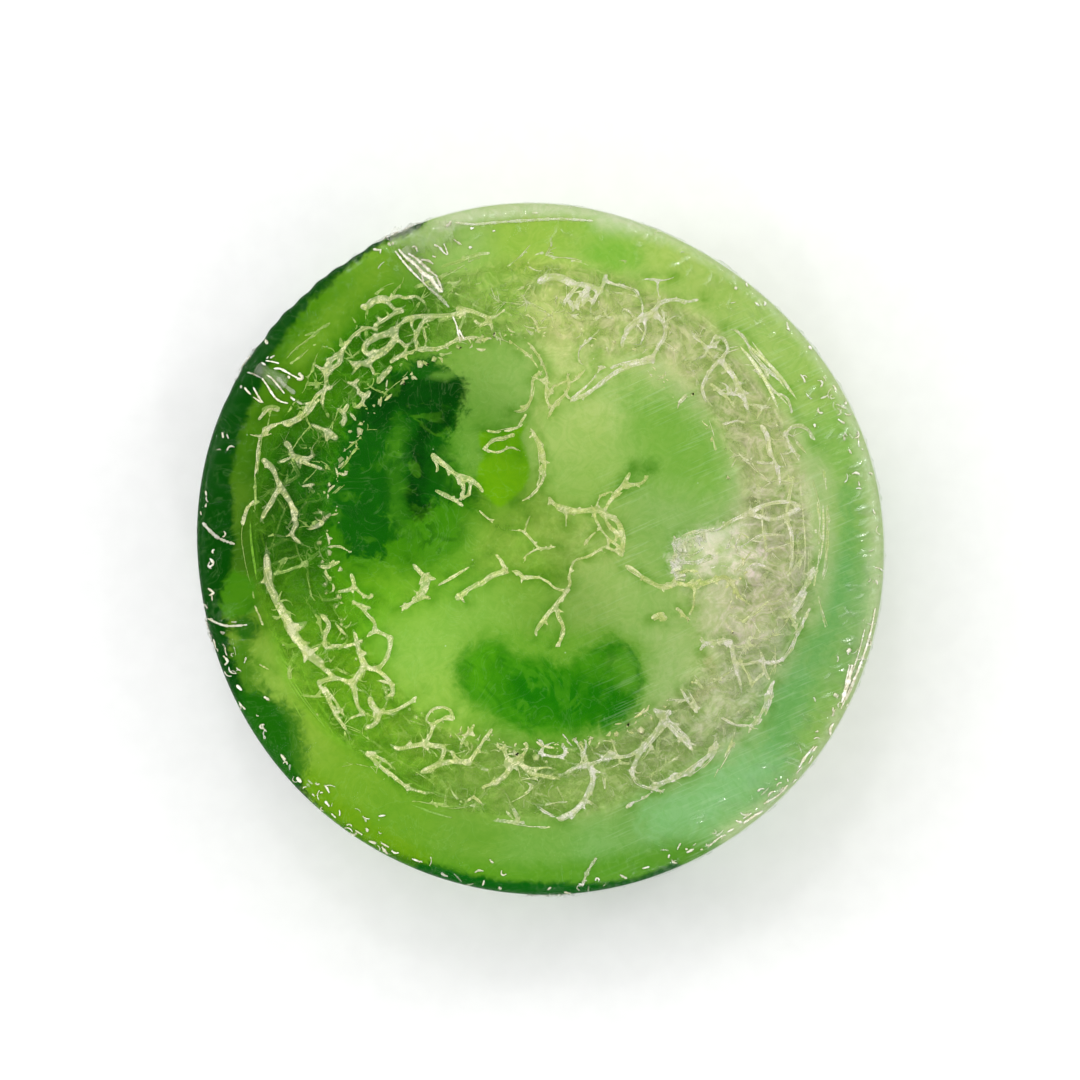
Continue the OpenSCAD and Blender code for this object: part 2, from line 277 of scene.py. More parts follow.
# Layers of colour over the dyes, a few of them painted shade or painted sheen: a closed outline, or a line and
# its half width, the colour, how soft its edge is, how far its edge wanders and over what distance, all in mm,
# and how strong the colour is, from 0 to 1.
LAYERS = [
    ("teal_right", [(25.6, -23), (26.8, -16), (29.6, -12), (32.6, -6), (33.8, 0), (34.2, 6), (35.6, 6),
                    (35.6, -1),
                    (33.4, -9), (30.6, -16), (28.6, -22)], None, (84, 160, 78), 1.4, 1.2, 3, 0.5),
    ("wall_edge_right", [(31.4, 10), (32.2, 5), (32.4, 0), (31.8, -4), (30.6, -8)], 0.8, (170, 192, 128),
     1.3, 0.7,
     3, 0.6),
    # painted reflection: the film's bluish sheen over the lower right collar, painted into the soap
    ("painted_film_sheen", [(14, -33), (12, -29), (17, -26.6), (24, -23), (27, -24), (22, -29.6)], None,
     (132, 192, 122), 2.2, 1.0, 3, 0.6),
    # partly the pale soap of the right rim, partly painted sheen where the film turns over the rounded edge
    ("pale_rim_sheen", [(6, 37), (14, 34.6), (22, 30.4), (29, 24), (34, 16), (36.6, 7), (37, -4), (35.6, -13),
                   (32, -21), (27, -27.4), (20, -32.6), (28, -38), (44, -20), (46, 6), (40, 30), (16, 44)],
                   None,
     (186, 208, 150), 1.1, 0.4, 3, 0.75),
    ("rim_shadow", [(-31.6, 18), (-29, 22), (-26.2, 25.6)], 1.2, (58, 116, 4), 1.0, 0.8, 3, 0.6),
    ("yellow_wedge", [(-28.4, 21.4), (-26, 25), (-22.6, 28.8), (-18.2, 32.2), (-14, 34.6), (-16, 31.6),
                      (-21, 27),
                      (-25, 21.6)], None, (104, 152, 34), 1.4, 0.9, 3, 0.7),
    # painted sheen: the film's pale band along the top rim, painted into the soap
    ("top_rim_sheen", [(-11, 37), (-6, 38), (0, 38.5), (6, 38.2), (11, 37.2)], 0.9, (192, 208, 162), 0.7, 0.3, 3,
     0.75),
    ("green_top", [(5, 33.4), (8, 35), (11.4, 33.6), (10.6, 31.8), (6.6, 32)], None, (120, 182, 52), 1.2,
     0.8, 3, 0.7),
    ("lower_edge", [(-16, -33.8), (-9, -35), (-4, -35.4), (5, -35), (16, -33), (20, -34), (10, -39),
                    (-6, -39.5),
                    (-18, -37)], None, (78, 142, 16), 1.3, 0.5, 4, 0.8),
    ("left_edge_green", [(-33, -9.4), (-32.4, -13), (-30.8, -17), (-34, -17), (-35.6, -12)], None,
     (52, 112, 3), 0.9, 0.8, 3, 0.85),
    ("yellow_edge", [(-26, -26.4), (-22.6, -29.8), (-18, -33), (-14, -35)], 1.5, (96, 147, 6), 1.2, 0.7, 3,
     0.8),
    ("green_lobe", [(-37, -4), (-35.6, -2.6), (-33.4, -2.6), (-32, -4.6), (-32.4, -7), (-34.6, -7.8),
                    (-36.8, -6.6)], None, (58, 122, 6), 0.5, 0.3, 2, 0.9),
    ("dark_patch", [(-34.6, -7.8), (-32.8, -7.6), (-31.6, -8.6), (-32.2, -10), (-34.2, -9.8)], None,
     (14, 84, 4), 0.5, 0.4, 1.6, 0.8),
    ("left_rim", LOOPS["left_rim"], None, (4, 66, 1), 0.45, 0.5, 3, 1.0),
    ("rim_glow", [(-33.4, -16), (-30.4, -16.4), (-27.2, -18.6), (-26.6, -21.4), (-26.4, -25), (-28.6, -27.4),
                  (-31.8, -22.4), (-34.4, -17.4)], None, (26, 98, 4), 1.0, 0.8, 2, 0.85),
    ("lower_left_rim", [(-25, -29.8), (-22, -32.2), (-18, -34.6), (-12, -37)], 0.9, (62, 122, 4), 0.7, 0.4,
     3, 0.9),
    ("lower_rim", LOOPS["lower_rim"], None, (3, 88, 4), 0.4, 0.3, 3, 1.0),
    ("left_green", [(-8.6, 1), (-12, -1.6), (-17, -2.6), (-22, -2.4), (-24, 2), (-24, 9), (-21, 16),
                    (-16, 20),
                    (-10.4, 17), (-9.6, 11.6), (-8, 6)], None, (54, 124, 4), 2.0, 1.4, 5, 0.85),
    ("left_swirl", [(-8.4, 18.4), (-9.2, 20), (-11, 21), (-15, 21), (-18, 19), (-21, 15), (-23.4, 10.6),
                    (-23.8, 5), (-22.4, 0.8), (-20, -1.2), (-17.4, 0), (-15.4, 2.4), (-13.4, 4.6),
                    (-10.8, 5.4),
                    (-9, 6.6), (-10, 9), (-11.8, 10.6), (-10.6, 12.8), (-8.8, 14.6)], None, (12, 86, 3),
                    0.8, 1.3,
     3, 0.97),
    ("left_vein", [(-10.6, 14.8), (-12.4, 13.8), (-13.6, 11.8), (-13.4, 9), (-14.2, 6.2), (-13.4, 4.4)], 1.1,
     (1, 52, 2), 0.7, 0.7, 2, 0.92),
    ("left_heart", [(-10.4, 17.6), (-12, 17.2), (-14.4, 17.4), (-16.6, 17.6), (-18.4, 15.4)], 1.9,
     (1, 58, 2), 1.0, 0.8, 2, 0.92),
    ("left_tongue", [(-15.8, 13.6), (-16.2, 11), (-16.2, 7.6), (-16, 4), (-14.6, 1.6)], 0.9, (50, 114, 14),
     0.8, 0.6,
     2.5, 0.8),
    ("left_lens", [(-12.6, 19.5), (-11, 20.1), (-9.4, 19.9), (-10.4, 19.1)], None, (96, 150, 48), 0.4, 0.2,
     2, 0.8),
    ("right_swirl", [(8.6, 18.6), (13, 18.6), (18, 16), (21.4, 11), (20.6, 6.4), (14.6, 7), (11.4, 12),
                     (9, 16)], None, (116, 172, 58), 2.6, 1.2, 4, 0.75),
    # painted shade: a darker line beside a core strand
    ("right_strand_shade", [(9.6, 7.2), (11, 9), (12.6, 9.4)], 0.9, (86, 148, 36), 0.9, 0.4, 1.5, 0.7),
    ("lower_halo", [(-9.8, -14), (-8.8, -10.8), (-5, -9), (0, -9.2), (6, -9), (10, -9.4), (12.4, -12),
                    (12.2, -16),
                    (10, -19.8), (5, -21.8), (-1, -22), (-6, -20.2), (-9.2, -17)], None, (98, 156, 38), 1.5,
                    0.8, 3,
     0.85),
    ("lower_swirl", LOOPS["lower_swirl"], None, (50, 130, 4), 1.1, 0.6, 3, 0.94),
    ("lower_heart", [(-1, -16.2), (2, -16.4), (5, -17), (8, -17.4)], 2.6, (24, 111, 2), 1.8, 0.9, 3, 0.95),
    ("lower_light", [(-6.6, -15), (-7.6, -13.4), (-5.6, -11.6)], 0.7, (78, 154, 14), 1.0, 0.6, 2, 0.7),
    ("lower_lobe", [(8.4, -12.6), (10, -13.6), (9.8, -15)], 0.9, (92, 154, 40), 0.9, 0.5, 2, 0.75),
    ("lower_line", [(6.2, -11.4), (8.4, -11), (9.6, -10.9), (10.8, -12.4), (11.3, -15), (10, -17.6),
                    (6, -19.6)], 0.16, (18, 104, 6), 0.35, 0.25, 2, 0.8),
    ("lump", LOOPS["lump"], None, (99, 160, 4), 0.3, 0.2, 2, 0.97),
    ("pad_wash", [(18, 1.6), (22, 3.4), (26, 5), (29.6, 4.6), (30.4, -4), (27, -9), (20, -11), (17.4, -5),
                  (17, -3)], None,
     (196, 205, 160), 1.6, 1.2, 2, 0.6),
    ("pad", [(15, 0.4), (16.4, 1.3), (18.4, 1.9), (21, 2.8), (24, 2.8), (26, 0.4), (24.4, -3), (20.6, -3.6),
             (17.4, -2.6), (15.6, -3.4), (14.7, -1.6)], None, (216, 222, 186), 0.8, 0.7, 1.6, 0.9),
    ("cells_lower_right", [(19, -12.4), (19.6, -14), (19.2, -15.6), (17.6, -16.4), (17.3, -17.6)], 0.5,
     (136, 146, 76), 0.6, 0.4, 1.5, 0.6),
    # painted shade: darker patches beside the core strands
    ("core_strand_shade", [(-1, -2.4), (1, -1.8), (3.4, -2.6), (1.6, -4), (-0.6, -3.6)], None, (88, 140, 26), 0.8,
     0.5, 2, 0.7),
    # painted shade beside the strands of the left septum
    ("left_strand_shade", [(-11.8, 9), (-10, 7.4), (-7.4, 6)], 0.9, (24, 88, 4), 0.8, 0.5, 1.5, 0.8),
]


# Swirls in which two colours run through each other: a layer, the dark and the light colour, and how strong.
VEINED = [("left_green", (6, 76, 2), (70, 136, 18), 0.5), ("lower_swirl", (16, 100, 2), (74, 148, 20), 0.45)]


# Strands at the cut face, as seen from above: each is a width and the points that it passes through.
WALL_STRANDS = {
    "upper_left": [
        (0.7, (-20.4, 27.5), (-19.6, 27.4), (-18.9, 27.9), (-18.2, 28.4), (-17.5, 28.3)),
        (0.45, (-17.5, 28.3), (-17, 27.7), (-16.3, 27.1), (-15.5, 26.9)),
        (0.5, (-15.6, 26.9), (-16.6, 26.5), (-17.5, 25.9), (-18.5, 25.3)),
        (0.5, (-8.6, 26.7), (-10.4, 26.4), (-12.2, 26.4), (-13.7, 26.3), (-15, 25.9), (-15.9, 25.3),
         (-16.4, 24.6)),
        (0.7, (-16.4, 24.6), (-17.2, 24.3), (-18.3, 24), (-19.3, 23.5), (-19.8, 22.8), (-19.7, 22.2),
         (-19.1, 21.9)),
        (0.75, (-16.4, 24.6), (-16.4, 23.8), (-17, 22.9), (-17.9, 22.1), (-18.8, 21.6), (-19.5, 21)),
        (0.55, (-19.5, 21), (-20.3, 21), (-21.3, 20.9)),
        (0.4, (-16.4, 23.8), (-15.7, 23.3), (-15.2, 22.9)),
        (0.4, (-19.4, 21), (-18.9, 20.4), (-18.6, 19.7)),
        (0.5, (-18.4, 24.8), (-19.3, 25.1), (-20.3, 24.7), (-21.2, 23.9), (-22, 22.9), (-22.5, 22)),
        (0.6, (-22.5, 22), (-23.4, 21.5), (-24, 20.8), (-24.1, 20.2)),
        (0.5, (-22.5, 22), (-22.6, 21.2), (-23.4, 20.5), (-24.1, 20.2)),
        (0.45, (-25.4, 20.9), (-24.8, 20.4), (-24.1, 20.2)),
        (0.45, (-24.1, 20.2), (-24.1, 19.2), (-24.3, 18.1), (-24.5, 17), (-24.4, 15.8)),
        (0.4, (-23.5, 18.3), (-24.3, 18), (-25.2, 17.3), (-26, 16.2), (-26.9, 15.2), (-28, 14.6),
         (-29.5, 14.2),
         (-31, 13.6)),
        (0.6, (-12.2, 26.2), (-13, 25.8), (-13.5, 25.2), (-13.9, 24.4)),
        (0.4, (-13.9, 24.4), (-14, 23.6), (-13.9, 22.8)),
        (0.35, (-13.1, 25), (-12.8, 23.8), (-12.9, 22.8)),
        (0.45, (-15.6, 22), (-14.5, 22.3), (-13.6, 22.6), (-12.3, 22.5), (-11.1, 22.8), (-10, 23.3),
         (-8.9, 23.7)),
        (0.35, (-8.9, 23.7), (-7.4, 23.9), (-5.8, 23.6)),
        (0.5, (-9.2, 27.2), (-8, 27), (-6.9, 26.6), (-5.9, 26.1), (-5.4, 25.2), (-5.2, 24.3)),
        (0.4, (-5.9, 26.1), (-4.7, 26.5), (-3.7, 27.3)),
        (0.5, (-7.4, 25.9), (-6.8, 25.4), (-5.9, 25.6)),
        (0.4, (-14.8, 28.4), (-13.9, 28.5), (-13.2, 28.1), (-12.8, 27.6)),
        (0.4, (-16.9, 28.2), (-16, 28.5), (-15.2, 28.4)),
        (0.5, (-29.2, 15.6), (-30.4, 15.9), (-31.2, 15.3), (-32, 14.4)),
        (0.35, (-32.2, 8), (-31.9, 9.8), (-31.8, 11.4), (-31.5, 12.7), (-30.6, 13.5)),
        (0.25, (-32.8, 13), (-31.6, 12.8), (-30.6, 13)),
        (0.65, (-28.8, 12.2), (-28.2, 11.5), (-27.9, 10.7), (-27.2, 10.3)),
        (0.5, (-27.2, 10.3), (-26.2, 10.3), (-25.4, 10.7)),
        (0.4, (-27.7, 10.5), (-28.6, 10.1), (-29.6, 9.8)),
        (0.4, (-27.2, 10.3), (-26, 9.6), (-24.4, 9)),
        (0.4, (-25.9, 14.1), (-24.8, 13.8), (-23.9, 13.3)),
        (0.8, (-23.9, 13.3), (-23.5, 12.9), (-22.9, 12.5)),
        (0.4, (-24, 13.2), (-24, 12.4)),
        (0.6, (-31.1, 10), (-30.1, 9), (-29.3, 7.3), (-28.2, 5.4), (-27.7, 4)),
        (0.55, (-27.7, 4), (-27.5, 2.8), (-27.9, 1.8), (-27.4, 1), (-26.6, 0.5)),
        (0.35, (-27.9, 1.8), (-28.8, 1.5)),
        (0.5, (-29.4, 6.9), (-30.3, 5.3), (-31, 4.2), (-31.6, 3.1)),
        (0.4, (-33.7, 2.3), (-33.2, 4), (-32.6, 5.1), (-31.7, 5.9)),
        (0.5, (-26.2, 2.3), (-25.2, 2.6), (-24.2, 3.3)),
        (0.3, (-26.8, 7.1), (-25.4, 7.4)),
        (0.4, (-24.2, 0.2), (-22.5, 0.3), (-21, -0.5)),
        (0.3, (-25, 16.9), (-26.6, 14.9), (-28.4, 14)),
        (0.45, (-21.8, 18.9), (-21, 18.7), (-20.4, 19.3)),
        (0.4, (-21, 18.7), (-20.4, 18.1)),
        (0.6, (-20.4, 17.7), (-19.6, 17.3), (-19.2, 17.9)),
        (0.5, (-18.5, 18.6), (-17.9, 19.3), (-17.3, 20), (-16.9, 20.5)),
        (0.4, (-16.7, 21.2), (-15.8, 21.8)),
        (0.5, (-22.9, 15.9), (-22.1, 15.6), (-21.6, 16.4)),
        (0.45, (-22.1, 15.6), (-21.9, 14.6), (-22.2, 13.9)),
        (0.45, (-20.7, 16), (-20, 16.6), (-19.8, 17.2)),
        (0.4, (-21.2, 15.2), (-20.6, 14.6)),
    ],
    "upper_right": [
        (0.85, (-0.4, 29.9), (0.3, 30.5), (1.4, 30.8), (2.6, 30.6), (3.6, 30.1)),
        (0.6, (3.6, 30.1), (4.8, 29.9), (6, 29.6), (6.9, 29.3)),
        (0.5, (7.5, 30.9), (7.2, 29.9), (6.6, 29), (6.2, 28.2), (5.8, 27.4)),
        (0.45, (5.6, 29.7), (4.9, 29), (4.3, 28.2), (4.3, 27.4), (4.8, 26.7)),
        (0.4, (4.4, 29.8), (3.4, 28.6), (2.6, 27.6)),
        (0.35, (3.2, 28.2), (3.9, 27.3), (3.6, 26.8)),
        (0.35, (5.6, 29.4), (5.3, 28.3), (4.9, 27.6)),
        (0.4, (7.4, 30.4), (8.6, 29.9), (10, 29.5), (10.8, 29.3), (11.3, 28.5), (11.6, 27.6), (11.6, 26.4)),
        (0.3, (10.8, 30.3), (12.4, 30.5), (14, 30.4), (15.4, 30.8)),
        (0.5, (9.3, 22.5), (9.5, 23.6), (9.9, 24.7)),
        (0.8, (9.9, 24.7), (10.8, 25.6), (11.9, 26.2), (13, 26.8)),
        (0.5, (13, 26.8), (13.2, 27.4), (13.9, 27.9), (15.2, 28.1), (16.8, 28), (18.6, 28.3)),
        (0.4, (10.8, 25.9), (10.2, 26.8), (9.4, 27.3)),
        (0.5, (13, 26.8), (13.7, 26), (14.2, 25.2), (14.1, 24), (13.4, 22.9), (12.9, 22), (12.7, 21.3)),
        (0.35, (14.2, 25.3), (14.8, 26.2), (15.7, 26.4), (16.2, 25.8)),
        (0.35, (11.8, 25.9), (11.9, 24.6), (11.4, 23.2)),
        (0.3, (13.6, 28), (13.3, 29.2), (13.4, 30.3)),
        (0.55, (12.8, 21.4), (11, 20.9), (9.2, 20.2), (7.6, 19.3), (6.3, 18.3), (4.9, 17.4), (3.6, 16.9)),
        (0.35, (12.4, 21.8), (10.4, 21.2), (8.4, 20.7), (6.9, 20.6)),
        (0.35, (6.9, 20.6), (6.3, 19.6), (5.2, 18.3), (4, 17.4)),
        (0.3, (6.8, 22.7), (6.1, 21.5), (4.9, 20.8), (4.4, 21.6), (4.6, 22.6), (5.6, 23.6), (6.6, 24.6)),
        (0.45, (16.9, 24.9), (17.4, 24.1), (18.3, 23.4), (18.9, 22.7), (18.6, 21.9), (17.5, 21.4)),
        (0.45, (18.9, 22.7), (19.6, 23), (20.2, 23.4)),
        (0.5, (19.9, 24), (20.8, 23.8), (21.2, 22.6), (20.7, 21.7), (20.4, 21.3)),
        (0.5, (20.4, 21.3), (19.6, 20.6), (18.8, 19.4), (18.4, 18.2), (18.8, 17), (19.5, 16.2)),
        (0.65, (20.4, 21.3), (21.4, 20.3), (22.2, 19), (22.8, 17.6), (23.4, 16.2), (23.9, 15.2)),
        (0.4, (19.8, 18), (20.8, 17.5), (22, 17.6), (22.8, 17.2)),
        (0.35, (20.2, 19), (21.2, 18.4), (21.4, 17.6)),
        (0.4, (20.2, 14), (22, 14.5), (23.4, 14.3)),
        (0.45, (20.8, 25.1), (22, 24.8), (23, 24), (23.8, 22.6), (24.8, 21.2), (26, 20), (27.4, 18.9),
         (28.5, 18.1)),
        (0.35, (23.8, 20.4), (24.8, 20), (25.4, 19.2), (26.2, 18.1)),
        (0.35, (26.4, 17.8), (27.8, 17.2), (28.4, 16), (28.4, 15.1)),
        (0.65, (24.9, 14.3), (25.6, 12.9), (25.9, 11.8), (26, 10.8)),
        (0.45, (24.4, 10), (25.4, 9.8), (26.2, 9.8)),
        (0.5, (26, 10.8), (26.7, 9.8), (27, 8.4), (27.1, 7)),
        (0.55, (27.7, 12.9), (28.4, 13.8), (29.4, 14), (30.6, 13.2), (31.4, 11.8)),
        (0.4, (28, 12.4), (28.7, 11), (29.4, 9.8)),
        (0.5, (23.6, 4.1), (25.3, 5), (27.3, 5.4), (28.9, 5.2), (29.4, 4.7), (28.4, 4.1), (26.2, 3.4),
         (23.6, 4.1)),
        (0.45, (15.3, 1.3), (18, 2.1), (20, 2.2), (21.5, 3.1), (23.6, 4.1)),
        (0.45, (27.8, 3.6), (28.4, 1.6), (28.5, -0.8), (28.1, -3)),
        (0.3, (23, 2.4), (22.2, 0.4), (22.6, -0.8)),
    ],
    "lower_left": [
        (0.85, (-30.9, 0.2), (-30.7, -2.4), (-30.5, -4), (-29.8, -5.5), (-29, -7), (-28.3, -8.6)),
        (0.95, (-28.3, -8.6), (-27.2, -10.4), (-26, -11.8), (-24.8, -12.8)),
        (0.45, (-25.2, -12.4), (-24.4, -13.4), (-23.4, -14.2)),
        (0.5, (-24.9, -15), (-23.5, -14.6), (-22.4, -14.6), (-21.1, -15.2)),
        (0.55, (-21, -9), (-20.7, -10.2), (-20.3, -11.6), (-19.8, -13.2)),
        (0.7, (-19.8, -13.2), (-20.4, -14.2), (-21.1, -15.2)),
        (0.55, (-19.8, -13.2), (-18.6, -13.5), (-17.8, -13.1), (-17, -11.7), (-16.8, -10)),
        (0.5, (-16.8, -10), (-17.6, -9.5), (-18.6, -9.2), (-19.8, -10)),
        (0.4, (-18.6, -9.2), (-18.7, -8.2), (-19.6, -7.2), (-20.5, -6.3)),
        (0.5, (-18.6, -13.4), (-17.4, -14.3), (-16.7, -15.2), (-16.5, -16.2), (-17, -16.9)),
        (0.5, (-21.1, -15.2), (-20.8, -16.5), (-20.4, -17.8), (-19.9, -18.5)),
        (0.7, (-19.2, -16.5), (-18.9, -17.5), (-18.2, -18.4)),
        (0.55, (-18.2, -18.4), (-18.3, -19.3), (-19, -19.9), (-19.8, -20)),
        (0.45, (-18.2, -18.4), (-16.8, -18.3), (-15, -17.5), (-13.4, -16.2)),
        (0.3, (-19.9, -18.5), (-21.6, -19.2)),
        (0.45, (-24.8, -15.4), (-23.8, -17), (-23, -18.6), (-22.2, -19.8), (-21.6, -20.8)),
        (0.3, (-24.2, -15.6), (-23, -17.2), (-22.2, -18.6)),
        (0.5, (-16.9, -22), (-15.9, -22.5), (-14.4, -22.2), (-13, -21.9), (-11.9, -22.2)),
        (0.45, (-13, -21.9), (-12.3, -20.8), (-12.1, -19.8)),
        (0.35, (-12.1, -19.8), (-12.8, -19.2), (-12.2, -18.2), (-11, -17.8), (-10, -18.2), (-9.7, -19)),
        (0.35, (-12.1, -19.8), (-11.2, -19.2), (-10.4, -18.8)),
        (0.5, (-11.9, -22.2), (-11, -22.3), (-10.8, -23), (-11.3, -24), (-12, -24.6)),
        (0.6, (-14, -25.4), (-13, -25), (-12, -24.5), (-11, -24.1), (-9.6, -23.9), (-8, -24)),
        (0.5, (-8, -24), (-7.5, -23.3), (-6.8, -22.3), (-6.1, -21.3), (-5.4, -20.4), (-4.9, -20)),
        (0.5, (-9, -24), (-9.6, -23.4), (-9.8, -22.7)),
        (0.35, (-9, -22.6), (-8.6, -21.4), (-7.9, -20.8), (-7.1, -21)),
        (0.4, (-7.8, -20.6), (-7.4, -19.6)),
        (0.4, (-6.6, -26.9), (-5.6, -26.5), (-4.8, -26.1)),
        (0.6, (-4.8, -26.1), (-4, -25.6), (-3.4, -24.9), (-2.9, -24.1)),
        (1.0, (-3.3, -24.1), (-2.9, -24), (-2.3, -23.8)),
        (0.5, (-2.4, -23.9), (-1.7, -24.7), (-0.8, -25.3), (0.4, -25.5), (1.6, -25.8), (2.4, -25.7)),
        (0.35, (-2.1, -24.2), (-0.8, -24.7), (0.8, -24.6), (1.8, -24.9)),
        (0.45, (-2.9, -24), (-3.6, -23.5), (-4, -22.6), (-3.8, -21.7)),
        (0.4, (-4, -22.6), (-4.8, -22.2)),
        (0.4, (-2.3, -23.8), (-1.7, -23), (-1.4, -22.2), (-1.6, -21.6)),
        (0.45, (-20.3, -22.7), (-19, -23.5), (-17.8, -24.7), (-16.5, -25.6), (-15, -26.8), (-13.4, -27.3),
         (-12, -27.5)),
        (0.3, (-19.4, -22.9), (-18, -23.6), (-16.4, -24.8)),
        (0.35, (-8.5, -28.6), (-7.5, -28), (-6.8, -28.4), (-6.4, -29)),
        (0.5, (-25, -7.2), (-24.3, -7.8), (-23.8, -8.7), (-24.3, -10), (-23.9, -11.7)),
        (0.4, (-23.4, -10.9), (-22.2, -10.9), (-21, -10.7)),
        (0.5, (-21.3, -2.4), (-21, -4.2), (-23, -4.8)),
        (0.4, (-21, -4.2), (-19.4, -5.4), (-18.6, -5)),
        (0.4, (-25, -1.8), (-23.8, -1.9), (-22.4, -1.2)),
        (0.4, (-24.2, -2.6), (-23.6, -3.6)),
        (0.4, (-19.2, -6.6), (-21, -6)),
        (0.3, (-32.3, -6), (-31.6, -7.6), (-31, -9)),
        (0.35, (-31.7, -12.8), (-30.4, -13.7)),
    ],
    "lower_right": [
        (0.7, (31.2, -1.4), (30.3, -3.6), (29.3, -5.4), (28.6, -6.6), (27.9, -7.5), (26.6, -7.8)),
        (0.4, (30.2, -4.8), (29.4, -6.4), (28.4, -7.6)),
        (0.45, (31, -6), (30.2, -7.2), (29.5, -8.8), (28.8, -10.4), (28.2, -11.6), (27.2, -12.5),
         (26, -12.8)),
        (0.4, (26, -12.8), (24.8, -12.6), (23.8, -12.9), (22.8, -13), (21.9, -12.6)),
        (0.45, (24.9, -11.2), (25.2, -12.5), (25.4, -13.7), (25.9, -14.6)),
        (0.5, (18.1, -11.5), (18.6, -10.8), (19.4, -10.5)),
        (0.7, (19.4, -10.5), (20.4, -10.4), (21.5, -10.5)),
        (0.5, (21.5, -10.5), (21.8, -11.6), (22.1, -13), (22.5, -14.4), (22.8, -16.2)),
        (0.35, (18.6, -10.6), (18.2, -9.8)),
        (0.5, (27, -14.4), (26.2, -15.2), (25.7, -16.5), (25.3, -17.8), (24.8, -18.9), (24.1, -19.8),
         (23.5, -20.8),
         (23.1, -21.4)),
        (0.3, (26.3, -15.4), (26.1, -17), (25.5, -18.7), (24.7, -19.6)),
        (0.4, (20.2, -18.9), (21.2, -19.3), (22.2, -19.8), (23.2, -19.9), (24.1, -19.7)),
        (0.35, (16.1, -16), (16.8, -17.2), (17.7, -18.4)),
        (0.3, (16.8, -15.9), (17.4, -17), (17.9, -17.9)),
        (0.45, (12.9, -18), (13.4, -18.4), (13.9, -18.7)),
        (0.9, (13.6, -18.6), (14, -18.8), (14.1, -19.3)),
        (0.4, (14.8, -18.1), (14.4, -18.6), (14, -18.8)),
        (0.6, (14.1, -19.3), (13.7, -20.4), (12.8, -21.4), (11.8, -22.4), (11, -23.5), (10.6, -24.6),
         (10.4, -25.2)),
        (0.3, (13.5, -19.6), (12.7, -20.9), (11.6, -21.9)),
        (0.5, (14.1, -19.3), (15.1, -20.4), (16.3, -21.6), (17.5, -22.8)),
        (0.35, (14.4, -19), (15.6, -20.1), (16.9, -21.5)),
        (0.45, (11.8, -22.2), (10.7, -23), (9.8, -23.4), (8.9, -23.4), (8, -22.9)),
        (0.45, (8, -22.9), (7.2, -23.7), (6.2, -24.2), (5, -24.4), (4, -24.7), (3, -25.2), (2.2, -25.7)),
        (0.35, (7.2, -23.7), (8, -23.6), (8.9, -23.4)),
        (0.35, (-0.3, -21.2), (0.2, -21.8), (0.4, -22.4), (0, -23)),
        (0.35, (0.4, -22.4), (1.2, -21.9), (2, -21.8)),
        (0.35, (0.2, -23.1), (1.4, -23.4), (2.6, -23.3), (3, -22.7), (2.6, -22.2)),
        (0.35, (4.6, -24.4), (4.8, -23.2), (4.4, -22.2), (3.9, -21.5)),
        (0.35, (5.4, -24.2), (5.1, -23), (5.3, -22), (4.8, -21)),
        (0.3, (3.4, -22), (2.6, -20.8)),
        (0.65, (5.7, -24.4), (6, -25.6), (5.9, -26.7), (5.3, -27.9), (4.6, -28.9), (3.6, -29.8),
         (2.4, -30.4)),
        (0.3, (2.4, -30.4), (1.2, -30), (0.2, -29.4), (-0.2, -28.9)),
        (0.3, (10.4, -25.2), (10.9, -26.2), (12, -26.8), (13.7, -27.3)),
        (0.6, (20, -20.8), (19.7, -22.2), (19, -23.3), (18, -24.2), (16.6, -25), (15.2, -25.7), (13.8, -26.4),
         (12.8, -26.8)),
        (0.3, (20, -22), (19.4, -23.6), (18, -24.9), (16.4, -25.5), (15, -26.1)),
        (0.35, (12.6, -27.4), (11.6, -28.2), (10.6, -28.6)),
        (0.5, (10.2, -28.8), (9.6, -29.3)),
    ],
}
UPPER_SEPTUM = [
    (0.35, (-1.8, 26.5), (-0.9, 26.2), (-0.4, 25.4), (-0.2, 24.4)),
    (0.35, (-2.4, 23.9), (-1.2, 23.2), (-0.3, 22.2), (0.4, 20.9), (0.8, 19.8), (0.8, 18.6), (0.7, 17.4),
     (1, 16.2)),
    (0.3, (-4, 24.2), (-2.6, 22.9), (-1.2, 21.8), (-0.3, 20.7), (0, 19.9)),
    (0.5, (0.1, 19.9), (-0.6, 19.4), (-0.8, 18.2), (-1, 16.9), (-1.6, 15.9), (-2.4, 15.6), (-3.3, 15.5)),
    (0.35, (-0.6, 19.4), (0.2, 19.1), (0.8, 19.4)),
    (0.5, (3.2, 19.6), (3.4, 18.8), (3, 17.6), (2, 16.5), (1.3, 15.5), (0.9, 14.2)),
    (0.35, (3, 17.6), (3.6, 16.9)),
    (0.35, (1.1, 17.4), (1.7, 18.5), (2.8, 18.9)),
    (0.3, (3.4, 18.8), (4.4, 19.4), (5.2, 20.4)),
    (0.45, (-0.7, 13.4), (0.4, 10.8), (0.5, 8.6), (0, 7), (-1.2, 5.9), (-3.2, 5)),
    (0.35, (-0.5, 12.8), (0, 10.8), (0.15, 8.8), (-0.3, 7.2)),
    (0.4, (-6.4, 13.5), (-4.6, 13.3), (-2.6, 13.7), (-2.2, 14.3), (-1.6, 15.2)),
    (0.5, (-6.2, 11.4), (-5.2, 12.4), (-4, 12.6), (-3, 12.9)),
    (0.36, (-6, 11.2), (-4.6, 11), (-3.2, 11.5), (-1.9, 10.9)),
]
